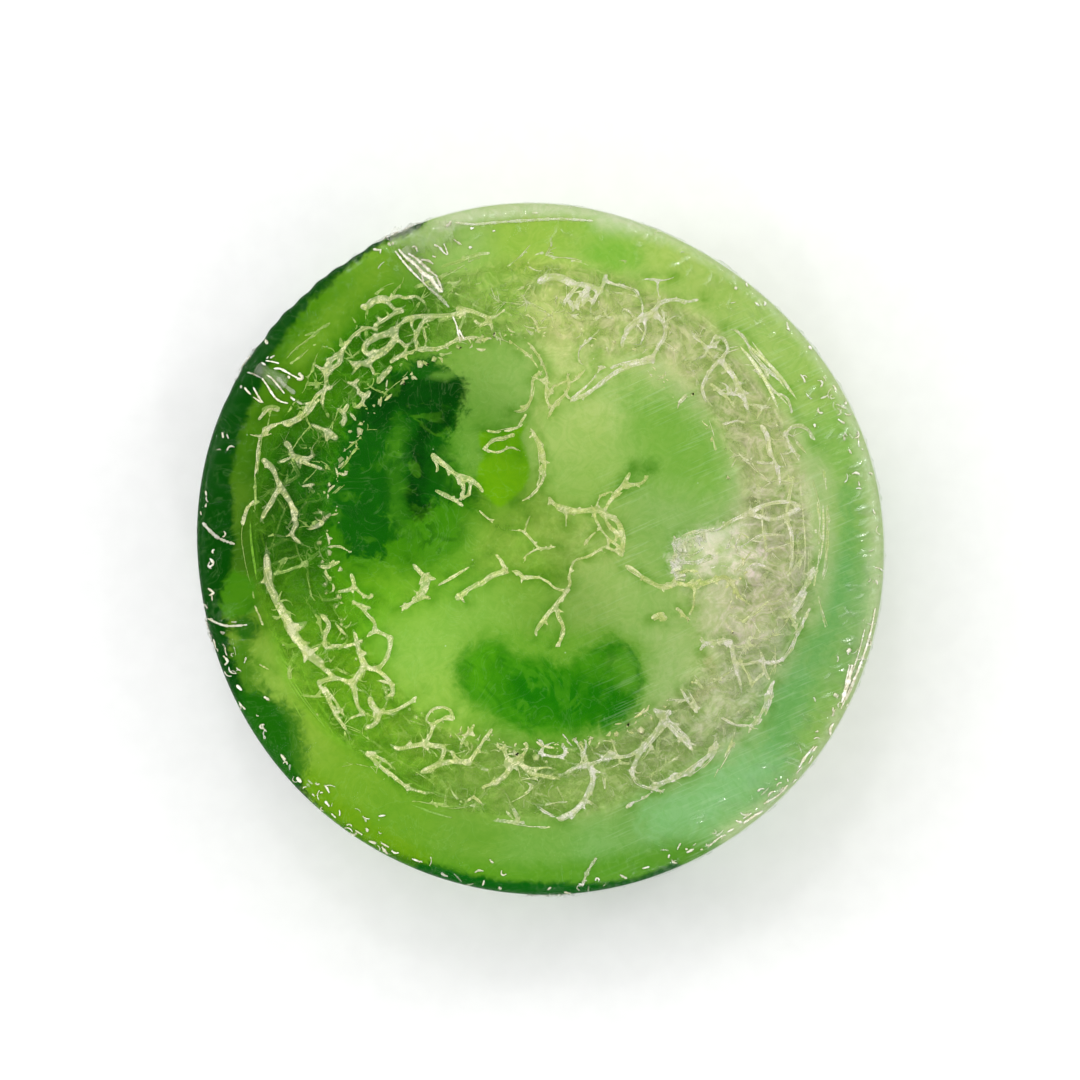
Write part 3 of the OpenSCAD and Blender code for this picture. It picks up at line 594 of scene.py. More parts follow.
RIGHT_SEPTUM = [
    (0.7, (9.2, -1.5), (10.8, -2.4), (11.9, -3.3), (13.3, -4.1), (14.5, -4.2), (15.3, -3.8)),
    (0.6, (15.3, -3.8), (17.8, -4), (20.7, -3.1), (21.8, -4), (22.6, -5.4), (23.9, -6.4)),
    (0.5, (15.1, -3.8), (15.6, -2.8), (16.8, -2.4), (18.4, -2.6)),
    (0.4, (17.5, -4), (17.4, -6.2), (17, -7.3)),
    (0.5, (15.3, -6.6), (16.7, -7.8)),
    (0.9, (12.6, -7.8), (13.6, -7.4), (14.2, -8)),
]
PAD_STRANDS = [
    (0.5, (15.3, 1.3), (15.1, 0.3), (15.8, -0.6), (17.2, -0.6), (18.6, 0.2)),
    (0.6, (14.8, -1.9), (16.2, -1.4), (17.6, -1.6), (19.4, -0.8)),
    (0.4, (15.6, 0.7), (16.8, 1), (18.2, 0.8)),
    (0.4, (19.4, -0.8), (21.2, 0.2), (23, 0.4), (25.2, 1.6), (27.6, 1.6)),
    (0.4, (18.4, -2.6), (20.4, -1.8), (22.6, -2.4), (24.6, -1.6), (26.4, -2.4)),
    (0.3, (21.2, 0.2), (21.8, 1.6), (21.5, 2.9)),
    (0.3, (22.6, -2.4), (23.4, -4.2), (22.6, -5.4)),
]
LEFT_SEPTUM = [
    (0.6, (-14.8, -1.2), (-13.8, -2.2), (-13, -3.4), (-14, -5.7), (-16.2, -6.7)),
    (0.7, (-12.6, -2.9), (-12.8, -4.4), (-14, -5.7)),
    (0.5, (-14, -5.7), (-13, -5.4), (-12.2, -5.6)),
    (0.4, (-11.7, -4.2), (-9.6, -3), (-7.6, -1.7)),
    (0.8, (-9.2, -5.4), (-8, -4.5), (-6.6, -3.8), (-5.3, -2.9), (-3.9, -2.4)),
    (0.5, (-3.9, -2.4), (-4.6, -0.9), (-5.1, -0.4)),
    (0.4, (-9.2, -5), (-8.4, -6)),
    (0.7, (-12, 10.6), (-10.5, 9.4), (-9, 8.2), (-7.2, 7.5), (-6, 5.8)),
    (0.6, (-12.2, 6.9), (-11, 6.3), (-10, 5.8), (-9, 5.2), (-8.4, 4.6)),
    (0.5, (-9, 8.2), (-8.6, 6.8), (-8.8, 5.8)),
    (0.4, (-7.8, 7.5), (-8, 6.2), (-8.6, 6)),
    (0.4, (-7, 4.6), (-5.2, 3)),
    (0.4, (-12, 10.6), (-11.6, 9.4), (-11.6, 8.4)),
]
CORE_STRANDS = [
    (0.8, (2.3, 4.8), (4.5, 4.3), (6.5, 4.5), (7.5, 4), (8.9, 3), (9.4, 1), (9.2, -1.5)),
    (0.6, (7.4, 4.5), (8.3, 5.9), (9.6, 7.5), (10.5, 9.1)),
    (0.36, (6.5, 5), (6.9, 6.1), (8.1, 6.5)),
    (0.5, (9.6, 7.5), (10.3, 7.2), (11.5, 7.5), (12.4, 8.6)),
    (0.45, (6, 4.6), (6.5, 3), (7.8, 1.2), (9.3, 0)),
    (0.6, (7.2, 3.9), (8, 2.6), (9, 1.6)),
    (0.3, (6.9, 2.4), (5.6, 1.2), (4.9, 0.3)),
    (0.5, (1, 5.9), (1.4, 5.4), (2.3, 4.8)),
    (0.25, (3.1, 4.5), (3, 2.5)),
    (0.36, (-3.7, 2.2), (-2.1, 2.2), (-1.2, 1.5), (-0.1, 0.2), (1, 0.15), (2.6, 0.4)),
    (0.3, (-0.1, 0.2), (-1, -0.4), (-1.9, -1.1)),
    (0.3, (-1.6, 2), (-1.4, 3), (-1, 3.9)),
    (0.4, (3.3, -3.1), (4, -1.3), (5.3, -0.9), (6.5, -0.2), (7.4, 0.3), (9.3, -0.6)),
    (0.45, (-3.7, -2.2), (-2.3, -2.7), (-1.7, -3.3), (-0.3, -3.1), (0.8, -3.6), (2, -4.4), (3.1, -4.6)),
    (0.65, (3.1, -4.6), (2, -6.1), (1, -7.2), (-0.1, -8.8), (-0.8, -9.9)),
    (0.55, (1.9, -6.3), (2.2, -7.6), (2.7, -8.8), (2.4, -10.1), (1.5, -11.3)),
    (0.4, (3.1, -4.6), (3.4, -3.9), (3.3, -3.1)),
]
SKIN_STRANDS = [
    (0.6, (-12, 31.2), (-10.5, 32.1), (-9, 32.6), (-7, 33.3), (-5, 33.5)),
    (0.4, (-14.5, 30.7), (-16.5, 29.9), (-18.5, 28.9), (-19.5, 28)),
    (0.4, (-16.3, 28.4), (-15, 28.7), (-14.2, 28.6), (-13.2, 28.1)),
    (0.35, (-7.3, 29.9), (-6.5, 30.2), (-6, 30.9)),
    (0.45, (-29, 20.5), (-27.6, 21.3), (-26.4, 22.3), (-25.4, 23.1), (-24, 23.7)),
    (0.4, (-28.6, 21.6), (-27, 23), (-25.5, 24.2), (-24.2, 25.2), (-22.8, 26)),
    (0.4, (-26.4, 24.2), (-25.2, 24.6), (-23.8, 25.5)),
    (0.3, (-31.9, 7.5), (-31.8, 10), (-31.5, 12.5), (-30.8, 13.8), (-30.3, 16)),
    (0.9, (-31.5, 15.5), (-30.5, 16), (-29.3, 15.8)),
    (0.3, (-31.5, 5.7), (-32.8, 5), (-33.5, 2.5), (-33.5, 0), (-33, -3), (-32.3, -5), (-31.5, -8)),
    (0.45, (-1.7, 32.4), (-0.6, 33.2), (0.4, 33.4), (1.6, 33), (3, 32.8), (4.4, 32.5), (6, 31.8),
     (7.4, 30.9)),
    (0.3, (-5, -30.3), (-1, -31.3), (2, -31.3)),
    (0.5, (31.4, 12), (32.2, 8), (32.6, 3), (32.2, -2), (31.4, -5)),
    (0.4, (30.6, 9), (31.4, 5), (31.6, 0), (31, -4)),
]

STRAND_TABLES = list(WALL_STRANDS.values()) + [UPPER_SEPTUM, RIGHT_SEPTUM, PAD_STRANDS, LEFT_SEPTUM,
                                               CORE_STRANDS]


def dye_at(xy):
    """The colour of the dyes at each point, as painted."""
    reach = 2.6
    spots = np.array([(x, y) for x, y, _ in DYES], float)
    paints = np.array([linear(rgb)[:3] for _, _, rgb in DYES])
    d2 = ((xy[:, None, :] - spots[None]) ** 2).sum(2)
    share = np.exp(-(d2 - d2.min(1, keepdims=True)) / (2 * reach ** 2))
    return share @ paints / share.sum(1, keepdims=True)


def drift(points):
    """Where on the cut face a deeper point gets its colour from: the pours wander on their way down."""
    depth = (SOAP_TOP - points[:, 2]) / SOAP_THICK
    shift = np.stack([noise(points, 22, 3, 2), noise(points, 22, 4, 2)], 1) * 7
    shift += np.stack([noise(points, 6, 5), noise(points, 6, 6)], 1) * 3.5
    return points[:, :2] + shift * depth[:, None]


def near_strands(points):
    """How near each point is to the strands at the cut face, from 0 to 1."""
    lines = [curve(line, 0.5) for table in STRAND_TABLES for _, *line in table]
    tree = tree_of([(*q, SOAP_TOP) for line in lines for q in line])
    away = np.array([tree.find(q)[2] if q[2] > SOAP_TOP - 4 else 9.0 for q in points])
    return np.exp(-(away / 0.9) ** 2)


def layer_distance(xy, shape, width):
    """How far inside a layer each point lies: inside its outline, or within its width of its line."""
    if width is None:
        return signed_distance(xy, curve(shape, 0.8, closed=True))
    best = np.full(len(xy), 1e9)
    for p in curve(shape, 0.5):
        best = np.minimum(best, ((xy - p) ** 2).sum(1))
    return width - np.sqrt(best)


def store(mesh, name, values):
    """Keeps a number, a vector or a colour for each vertex."""
    columns = 1 if values.ndim == 1 else values.shape[1]
    kind, field = {1: ("FLOAT", "value"), 3: ("FLOAT_VECTOR", "vector"), 4: ("FLOAT_COLOR", "color")}[columns]
    mesh.attributes.new(name, kind, "POINT").data.foreach_set(field, values.astype(np.float32).ravel())


def store_dye(mesh, xy):
    store(mesh, "Dye", np.c_[dye_at(xy), np.ones(len(xy))])


def paint_soap(mesh, points, clear=None):
    """Stores the dye and each layer's distance at the mesh's vertices, for the soap's material."""
    xy = drift(points)
    store_dye(mesh, xy)
    for name, shape, width, *_ in LAYERS:
        store(mesh, name, np.clip(layer_distance(xy, shape, width), -6, 6))
    store(mesh, "Clear", np.zeros(len(xy)) if clear is None else clear)
    # nearness to the strands, for the painted shade round them
    store(mesh, "Near", near_strands(points))


def new_object(name, points, faces, material):
    """A mesh object from points in mm."""
    mesh = bpy.data.meshes.new(name)
    mesh.from_pydata((np.asarray(points) * MM).tolist(), [], [list(map(int, f)) for f in faces])
    mesh.validate()
    mesh.polygons.foreach_set("use_smooth", [True] * len(mesh.polygons))
    mesh.materials.append(material)
    obj = bpy.data.objects.new(name, mesh)
    bpy.context.scene.collection.objects.link(obj)
    return obj


def place(obj, slot, *nodes):
    """obj rides on the puck and stands for some CAD nodes, which it hides. slot is not used."""
    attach(obj, "root")
    if nodes:
        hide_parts(*nodes)


# ------------------------------------------------------------------ materials

class Paint:
    """A short way to lay out a node tree. A socket or a plain value can feed any input."""

    def __init__(self, tree):
        self.tree = tree

    def feed(self, socket, value):
        if isinstance(value, bpy.types.NodeSocket):
            self.tree.links.new(value, socket)
        else:
            socket.default_value = value

    def wire(self, node, **inputs):
        """Feeds a node's inputs, by name with _ for a space, or by number after an i."""
        for key, value in inputs.items():
            numbered = key[0] == "i" and key[1:].isdigit()
            self.feed(node.inputs[int(key[1:]) if numbered else key.replace("_", " ")], value)

    def node(self, kind, settings=None, **inputs):
        made = self.tree.nodes.new("ShaderNode" + kind)
        for key, value in (settings or {}).items():
            setattr(made, key, value)
        self.wire(made, **inputs)
        return made

    def math(self, operation, a, b=0.0, clamp=False):
        return self.node("Math", {"operation": operation, "use_clamp": clamp}, i0=a, i1=b).outputs[0]

    def times(self, a, b, clamp=False):
        return self.math("MULTIPLY", a, b, clamp)

    def plus(self, a, b):
        return self.math("ADD", a, b)

    def minus(self, a, b, clamp=False):
        return self.math("SUBTRACT", a, b, clamp)

    def vector(self, operation, a, b):
        return self.node("VectorMath", {"operation": operation}, i0=a, i1=b).outputs[0]

    def ramp(self, value, low, high, to_low=0.0, to_high=1.0):
        """value from low to high, eased, as to_low to to_high."""
        return self.node("MapRange", {"interpolation_type": "SMOOTHSTEP"}, Value=value, From_Min=low,
                         From_Max=high, To_Min=to_low, To_Max=to_high).outputs[0]

    def mix(self, share, a, b, blend="MIX"):
        return self.node("Mix", {"data_type": "RGBA", "blend_type": blend}, i0=share, i6=a, i7=b).outputs[2]

    def tint(self, colour, red, green, blue):
        """A colour with its red, green and blue multiplied."""
        return self.mix(1.0, colour, (red, green, blue, 1), "MULTIPLY")

    def noise(self, where, size_mm, detail, roughness=0.5, distortion=0.0):
        """Noise about 0.5, with lumps about size_mm across."""
        return self.node("TexNoise", Vector=where, Scale=1 / (size_mm * MM), Detail=detail,
                         Roughness=roughness, Distortion=distortion).outputs[0]

    def lines(self, value, width):
        """1 where value is 0.5 and 0 from width away: thin lines through noise."""
        return self.ramp(self.math("ABSOLUTE", self.minus(value, 0.5)), 0.0, width, 1.0, 0.0)

    def stored(self, name, kind="Fac"):
        """What the mesh keeps for each vertex under a name."""
        return self.node("Attribute", {"attribute_name": name}).outputs[kind]

    def place(self):
        return self.node("TexCoord").outputs["Object"]

    def axis(self, where, letter):
        return self.node("SeparateXYZ", Vector=where).outputs[letter]

    def bump(self, height, strength, distance_mm):
        return self.node("Bump", Strength=strength, Distance=distance_mm * MM, Height=height).outputs[0]


def material(name):
    """A new material, its Paint, its shader and its place on the object."""
    made = bpy.data.materials.new(name)
    made.use_nodes = True
    p = Paint(made.node_tree)
    return made, p, made.node_tree.nodes["Principled BSDF"], p.place()


def soap_group():
    """The colour of the soap at a point and the height of the marks on its cut face."""
    tree = bpy.data.node_groups.new("soap_colour", "ShaderNodeTree")
    tree.interface.new_socket("Colour", in_out="OUTPUT", socket_type="NodeSocketColor")
    tree.interface.new_socket("Height", in_out="OUTPUT", socket_type="NodeSocketFloat")
    p = Paint(tree)
    where = p.place()
    colour = p.stored("Dye", "Color")
    mottle = p.noise(where, 5, 4, 0.55, 1.2)
    colour = p.mix(p.ramp(mottle, 0.35, 0.7, 0.0, 0.35), colour, p.tint(colour, 0.86, 0.93, 0.7))
    # the layers, each with a ragged edge
    wisps = p.minus(p.noise(where, 1.5, 4, 0.6, 3.0), 0.5)
    for name, _, _, rgb, soft, ragged, size, strength in LAYERS:
        wander = p.times(p.minus(p.noise(where, size, 5, 0.6, 1.8), 0.5), 4 * ragged)
        wander = p.plus(wander, p.times(wisps, 1.6 * ragged))
        mask = p.ramp(p.plus(p.stored(name), wander), -soft, soft, 0.0, strength)
        colour = p.mix(mask, colour, linear(rgb))
    # thin veins, and swirls in which two colours run through each other
    line = p.lines(p.noise(where, 6, 3, 0.5, 3.5), 0.02)
    colour = p.mix(p.times(line, 0.3), colour, p.mix(0.16, colour, (0.5, 0.8, 0.3, 1)))
    bands = p.math("SINE", p.times(p.noise(where, 7, 5, 0.55, 1.2), 26))
    flow = p.times(p.plus(bands, 1.0), 0.5)
    broken = p.ramp(p.noise(where, 3, 3), 0.35, 0.62)
    for name, dark, light, strength in VEINED:
        inside = p.times(broken, p.ramp(p.stored(name), -0.6, 1.6, 0.0, strength))
        colour = p.mix(p.times(inside, p.ramp(flow, 0.5, 1.0)), colour, linear(dark))
        colour = p.mix(p.times(inside, p.ramp(flow, 0.45, 0.0)), colour, linear(light))
    # pale clouds, darker marbling, and painted shade round the strands
    pale = p.ramp(p.noise(where, 6.5, 4, 0.6, 2.5), 0.5, 0.7, 0.0, 0.35)
    colour = p.mix(pale, colour, p.tint(colour, 1.2, 1.1, 1.4))
    marble = p.ramp(p.noise(where, 3.2, 4, 0.6, 4.0), 0.4, 0.62, 0.0, 0.3)
    colour = p.mix(marble, colour, p.tint(colour, 0.6, 0.84, 0.5))
    halo = p.times(p.stored("Near"), p.ramp(p.noise(where, 1.8, 4), 0.38, 0.62, 0.2, 1.0))
    colour = p.mix(halo, colour, p.tint(colour, 0.5, 0.7, 0.32))
    # a few specks for bubbles, and a fine grain
    bubble = p.node("TexVoronoi", {"feature": "F1"}, Vector=where, Scale=1 / (1.5 * MM))
    rare = p.ramp(p.node("SeparateColor", Color=bubble.outputs["Color"]).outputs[0], 0.86, 0.88)
    speck = p.times(rare, p.ramp(bubble.outputs["Distance"], 0.075, 0.05))
    colour = p.mix(p.times(speck, 0.5), colour, linear((176, 214, 150)))
    fine = p.noise(where, 0.9, 3, 0.6, 0.4)
    colour = p.mix(p.ramp(fine, 0.3, 0.75, 0.0, 0.22), colour, p.tint(colour, 1.22, 1.12, 1.3))
    # the scratches of the cut, on patches of the right side
    turned = p.node("Mapping", {"vector_type": "POINT"}, Vector=where, Rotation=(0, 0, math.radians(-24)))
    cut = p.noise(p.vector("MULTIPLY", turned.outputs[0], (0.045, 1.0, 0.3)), 0.2, 2, 0.5)
    right = p.ramp(p.axis(where, "X"), 1 * MM, 13 * MM)
    patch = p.times(right, p.ramp(p.noise(where, 9, 2), 0.36, 0.56))
    cut_line = p.times(p.ramp(cut, 0.54, 0.68), patch)
    colour = p.mix(p.times(cut_line, 0.13), colour, (0.62, 0.78, 0.5, 1))
    height = p.plus(p.times(cut, patch), p.times(fine, 0.5))
    p.wire(tree.nodes.new("NodeGroupOutput"), Colour=colour, Height=height)
    return tree


SOAP_COLOUR = soap_group()


def left_to_right(p, where, left, right):
    """A tint, green at the left and pale at the right, that brightens the clear soap as painted light."""
    return p.mix(p.ramp(p.axis(where, "X"), -24 * MM, -6 * MM), (*left, 1), (*right, 1))


def soap_material(name, roughness, clear=False):
    """Soap: the pours' colours on a satin cut face. Clear soap can be seen into, by the share in "Clear"."""
    made, p, shader, where = material(name)
    group = p.node("Group", {"node_tree": SOAP_COLOUR})
    colour = group.outputs["Colour"]
    if clear:
        seen = p.stored("Clear")
        cloud = p.noise(where, 1.1, 5, 0.65, 1.2)
        # painted light: the seen-into soap brightened past its dye, in place of light that does not reach down
        # into it
        lit = p.mix(1.0, colour, left_to_right(p, where, (1.15, 1.45, 0.8), (1.66, 1.5, 1.7)), "MULTIPLY")
        lit = p.mix(p.ramp(cloud, 0.38, 0.62, 0.4, 0.0), lit, p.tint(lit, 0.74, 0.8, 0.6))
        curls = p.math("SINE", p.times(p.noise(where, 2.4, 4, 0.6, 0.8), 30))
        inside = p.times(seen, 1.7, clamp=True)
        lit = p.mix(p.times(inside, p.ramp(curls, 0.2, -0.9)), lit, p.tint(lit, 0.8, 0.88, 0.68))
        lit = p.mix(p.times(inside, p.ramp(curls, 0.6, 1.0, 0.0, 0.55)), lit, p.tint(lit, 1.4, 1.22, 1.6))
        colour = p.mix(p.times(seen, 2.2, clamp=True), colour, lit)
        milky = p.ramp(p.noise(where, 4.5, 4, 0.6, 1.5), 0.3, 0.72, 1.15, 0.7)
        p.wire(shader, Alpha=p.minus(1.0, p.times(seen, milky), clamp=True))
    satin = p.ramp(p.noise(where, 3, 3), 0.3, 0.7, roughness - 0.06, roughness + 0.08)
    p.wire(shader, Base_Color=colour, Roughness=satin, Normal=p.bump(group.outputs["Height"], 0.35, 0.06),
           IOR=1.46, Specular_IOR_Level=0.04)
    return made


def cloud_material(name):
    """The cloudy depth of the clear soap, below what can be seen into."""
    made, p, shader, where = material(name)
    # painted light: the cloudy depth brightened past its dye, in place of light that does not reach down to it
    dye = p.mix(1.0, p.stored("Dye", "Color"), left_to_right(p, where, (1.1, 1.4, 0.8), (1.65, 1.6, 1.5)),
                "MULTIPLY")
    lumps = p.noise(where, 2.6, 5, 0.6, 1.8)
    colour = p.mix(p.ramp(lumps, 0.35, 0.65, 0.0, 0.75), dye, p.tint(dye, 0.6, 0.74, 0.42))
    line = p.lines(p.noise(where, 1.6, 3, 0.5, 4.0), 0.045)
    colour = p.mix(p.times(line, 0.35), colour, p.mix(0.5, dye, (0.72, 0.76, 0.5, 1)))
    p.wire(shader, Base_Color=colour, Normal=p.bump(lumps, 0.6, 0.5), Roughness=0.6, Specular_IOR_Level=0.1)
    return made


def fibre_material(name, paint, tint, deep=CLOUD_DEPTH, green=0.0, greener=(122, 186, 34)):
    """Loofah strands: drawn-out filaments, pale at the cut face and lost in the soap's colour with depth."""
    made, p, shader, where = material(name)
    run = p.stored("Run", "Vector")
    along = p.node("VectorMath", {"operation": "DOT_PRODUCT"}, i0=where, i1=run).outputs["Value"]
    back = p.node("VectorMath", {"operation": "SCALE"}, i0=run, Scale=p.times(along, 0.93)).outputs[0]
    filaments = p.noise(p.vector("SUBTRACT", where, back), 0.26, 3, 0.6, 0.2)
    dye = p.stored("Dye", "Color")
    clouded = p.plus(p.axis(where, "Z"), p.times(p.minus(p.noise(where, 2.5, 2), 0.5), 1.2 * MM))
    pale = p.mix(p.ramp(p.axis(where, "X"), -16 * MM, 2 * MM, green, 0.0), linear(paint), linear(greener))
    pale = p.mix(tint, pale, dye)
    patchy = p.ramp(p.noise(where, 1.1, 3, 0.55), 0.36, 0.64)
    pale = p.mix(patchy, p.tint(pale, 0.8, 0.86, 0.56), pale)
    # the darker colour: the soap's dye seen between the filaments, and painted shade at the strand's edges
    shade = p.mix(0.7, pale, p.tint(dye, 0.9, 0.95, 0.6))
    streaked = p.mix(p.ramp(filaments, 0.4, 0.56), shade, pale)
    # painted shade towards each strand's edges, by its distance from the centre line, so that it looks rounded
    streaked = p.mix(p.ramp(p.stored("Core"), 0.0, 0.4), shade, streaked)
    share = p.ramp(clouded, (SOAP_TOP - deep) * MM, (SOAP_TOP - 0.35) * MM, 0.3, 1.0)
    p.wire(shader, Base_Color=p.mix(share, dye, streaked), Normal=p.bump(filaments, 0.7, 0.12),
           Roughness=p.ramp(filaments, 0.3, 0.7, 0.62, 0.42), Specular_IOR_Level=0.3)
    return made


def film_material(name, haze):
    """Clear film: a thin shiny skin that can be seen through, whiter where it is folded or puckered."""
    made, p, shader, where = material(name)
    tone = p.noise(where, 7, 2)
    ripples = p.noise(where, 1.7, 3, 0.5, 0.8)
    glancing = p.minus(p.node("Fresnel", IOR=1.5).outputs[0], 0.055)
    shine = p.times(p.math("MAXIMUM", glancing, 0.0), p.times(p.stored("Gloss"), 0.36))
    crease = p.times(p.stored("Crease"), p.ramp(ripples, 0.3, 0.7, 0.03, 0.2))
    seen = p.plus(p.plus(shine, crease), p.ramp(tone, 0.4, 0.7, haze * 0.4, haze * 1.6))
    p.wire(shader, Metallic=1.0, Normal=p.bump(ripples, 0.35, 0.12),
           Base_Color=p.mix(p.ramp(tone, 0.35, 0.65), (0.86, 0.93, 0.9, 1), (0.98, 0.98, 0.94, 1)),
           Roughness=p.ramp(ripples, 0.3, 0.7, 0.05, 0.16), Alpha=p.math("MINIMUM", seen, 0.9))
    return made


def pleat_material(name, paint):
    """Folded film: cloudy white and shining, with a cream painted highlight brighter on some pleats than
    others.
    """
    made, p, shader, where = material(name)
    streak = p.noise(where, 0.8, 3, 0.55, 0.5)
    glint = p.times(p.stored("Glint"), p.ramp(streak, 0.25, 0.6, 0.55, 1.0))
    p.wire(shader, Base_Color=p.mix(p.ramp(streak, 0.35, 0.75), linear(paint), (1, 1, 0.92, 1)),
           Normal=p.bump(streak, 0.4, 0.1), Alpha=p.math("MINIMUM", glint, 1.0), Roughness=0.16,
           Specular_IOR_Level=0.8)
    return made


def floor_material():
    """A plain pale floor with a faint grain."""
    made, p, shader, where = material("stage_floor")
    grain = p.ramp(p.noise(where, 3, 3), 0.3, 0.7)
    p.wire(shader, Base_Color=p.mix(grain, (0.88, 0.88, 0.88, 1), (0.9, 0.9, 0.9, 1)), Roughness=0.8,
           Specular_IOR_Level=0.1)
    return made


# ------------------------------------------------------------------ the soap

def hex_grid(step, reach):
    """Places a step apart in staggered rows, as far out as reach."""
    rows = int(reach / (step * 0.866)) + 1
    out = []
    for row in range(-rows, rows + 1):
        xs = np.arange(-reach, reach, step) + (row % 2) * step / 2
        out.append(np.stack([xs, np.full(len(xs), row * step * 0.866)], 1))
    return np.concatenate(out)


def ring_outline(radius, wander, seed):
    """A loop round the loofah's centre that wanders in and out."""
    angle = np.arange(0, 2 * np.pi, 0.6 / radius)
    r = radius + wander * noise(around(radius, angle, 0), 7, seed)
    return around(r, angle, 0, LOOFAH_AT)[:, :2]


RIM_ANGLES = np.arange(0, 2 * np.pi, 0.45 / SOAP_R)
RIM = around(rim_radius(RIM_ANGLES), RIM_ANGLES, 0)[:, :2]
WALL_OUTER = ring_outline(WALL_OUT, 0.8, 11)
WALL_INNER = ring_outline(WALL_IN, 0.5, 12)
WALL_CUTS = [np.linspace(polar(WALL_IN - 2, a, LOOFAH_AT), polar(WALL_OUT + 2, a, LOOFAH_AT), 18)
             for a in GREEN_WALL]


def piece_of(xy):
    """The name of the pour that each point on the cut face belongs to."""
    names = np.full(len(xy), "collar_soap", dtype=object)
    for name, node in (("right_collar", "collar_swirl_right"), ("lower_rim", "rim_swirl_lower"),
                       ("left_rim", "rim_swirl_left")):
        names[signed_distance(xy, OUTLINES[name]) > 0] = node
    angle = np.degrees(np.arctan2(xy[:, 1] - LOOFAH_AT[1], xy[:, 0] - LOOFAH_AT[0])) % 360
    wall = signed_distance(xy, WALL_OUTER) > 0
    green = (angle[wall] > GREEN_WALL[0]) & (angle[wall] < GREEN_WALL[1])
    names[wall] = np.where(green, "wall_soap_green", "wall_soap_clear")
    core = signed_distance(xy, WALL_INNER) > 0
    names[core] = "core_soap"
    for name, node in (("left_chamber", "chamber_soap_left"), ("right_chamber", "chamber_soap_right"),
                       ("lower_chamber", "chamber_soap_lower"), ("left_swirl", "chamber_swirl_left"),
                       ("right_swirl", "chamber_swirl_right"), ("lower_swirl", "chamber_swirl_lower"),
                       ("lump", "core_lump")):
        names[core & (signed_distance(xy, OUTLINES[name]) > 0)] = node
    names[signed_distance(xy, RIM) < 0] = ""
    return names


def plan_mesh():
    """The cut face as triangles whose edges follow every outline: points, triangles and each one's piece."""
    loops = [RIM, WALL_OUTER, WALL_INNER] + list(OUTLINES.values())
    points, edges = [], []
    for loop in loops:
        start = len(points)
        points += [tuple(q) for q in loop]
        edges += [(start + i, start + (i + 1) % len(loop)) for i in range(len(loop))]
    for line in WALL_CUTS:
        start = len(points)
        points += [tuple(q) for q in line]
        edges += [(start + i, start + i + 1) for i in range(len(line) - 1)]
    for turn in (0.16, 0.33, 0.5, 0.72, 1.0):
        inset = 1 - EDGE_R * (1 - math.cos(turn * math.pi / 2)) / SOAP_R
        points += [tuple(q) for q in RIM[::2] * inset]
    grid = hex_grid(GRID_STEP, SOAP_R + 1)
    inner = signed_distance(grid, RIM) > EDGE_R + 0.3
    tree = tree_of([(*q, 0) for q in points])
    points += [tuple(q) for q in grid[inner] if tree.find((*q, 0))[2] > 0.3]
    done = geometry.delaunay_2d_cdt([Vector(q) for q in points], edges, [], 0, 1e-5, False)
    flat = np.array([(q[0], q[1]) for q in done[0]])
    triangles = np.array([f for f in done[2] if len(f) == 3])
    names = piece_of(flat[triangles].mean(1))
    keep = names != ""
    return flat, triangles[keep], names[keep]


def rim_drop(xy):
    """How far below the cut face the rounded rim is."""
    d = np.clip(signed_distance(xy, RIM), 0, EDGE_R)
    return EDGE_R - np.sqrt(np.maximum(EDGE_R ** 2 - (EDGE_R - d) ** 2, 0))


def prism(flat, triangles, top, low, levels):
    """A closed solid over some triangles of the plan, with its side split into levels."""
    used, index = np.unique(triangles, return_inverse=True)
    tri = index.reshape(triangles.shape)
    xy = flat[used]
    area = np.cross(xy[tri[:, 1]] - xy[tri[:, 0]], xy[tri[:, 2]] - xy[tri[:, 0]])
    tri[area < 0] = tri[area < 0][:, ::-1]
    drop = rim_drop(xy)
    n = len(xy)
    points = [np.c_[xy, top - drop], np.c_[xy, low + drop]]
    sides = dict.fromkeys(e for a, b, c in tri for e in ((a, b), (b, c), (c, a)))
    border = [e for e in sides if (e[1], e[0]) not in sides]
    faces = [tuple(f) for f in tri] + [tuple(f[::-1] + n) for f in tri]
    corners = sorted({a for e in border for a in e})
    order = {v: i for i, v in enumerate(corners)}
    count = len(corners)
    for level in range(1, levels):
        share = level / levels
        z = (top - drop[corners]) * (1 - share) + (low + drop[corners]) * share
        points.append(np.c_[xy[corners], z])

    def at(vertex, level):
        if level == 0:
            return vertex
        if level == levels:
            return vertex + n
        return 2 * n + (level - 1) * count + order[vertex]

    for a, b in border:
        for level in range(levels):
            faces.append((at(b, level), at(a, level), at(a, level + 1), at(b, level + 1)))
    return np.concatenate(points), faces


SLOTS = {entry["node"]: entry["material_slot"] for entry in frame["record"]["subparts"]}
SEEN_INTO = ("wall_soap_clear", "wall_soap_green", "core_soap")
OUTER = ("collar_soap", "rim_swirl_left", "rim_swirl_lower", "collar_swirl_right")


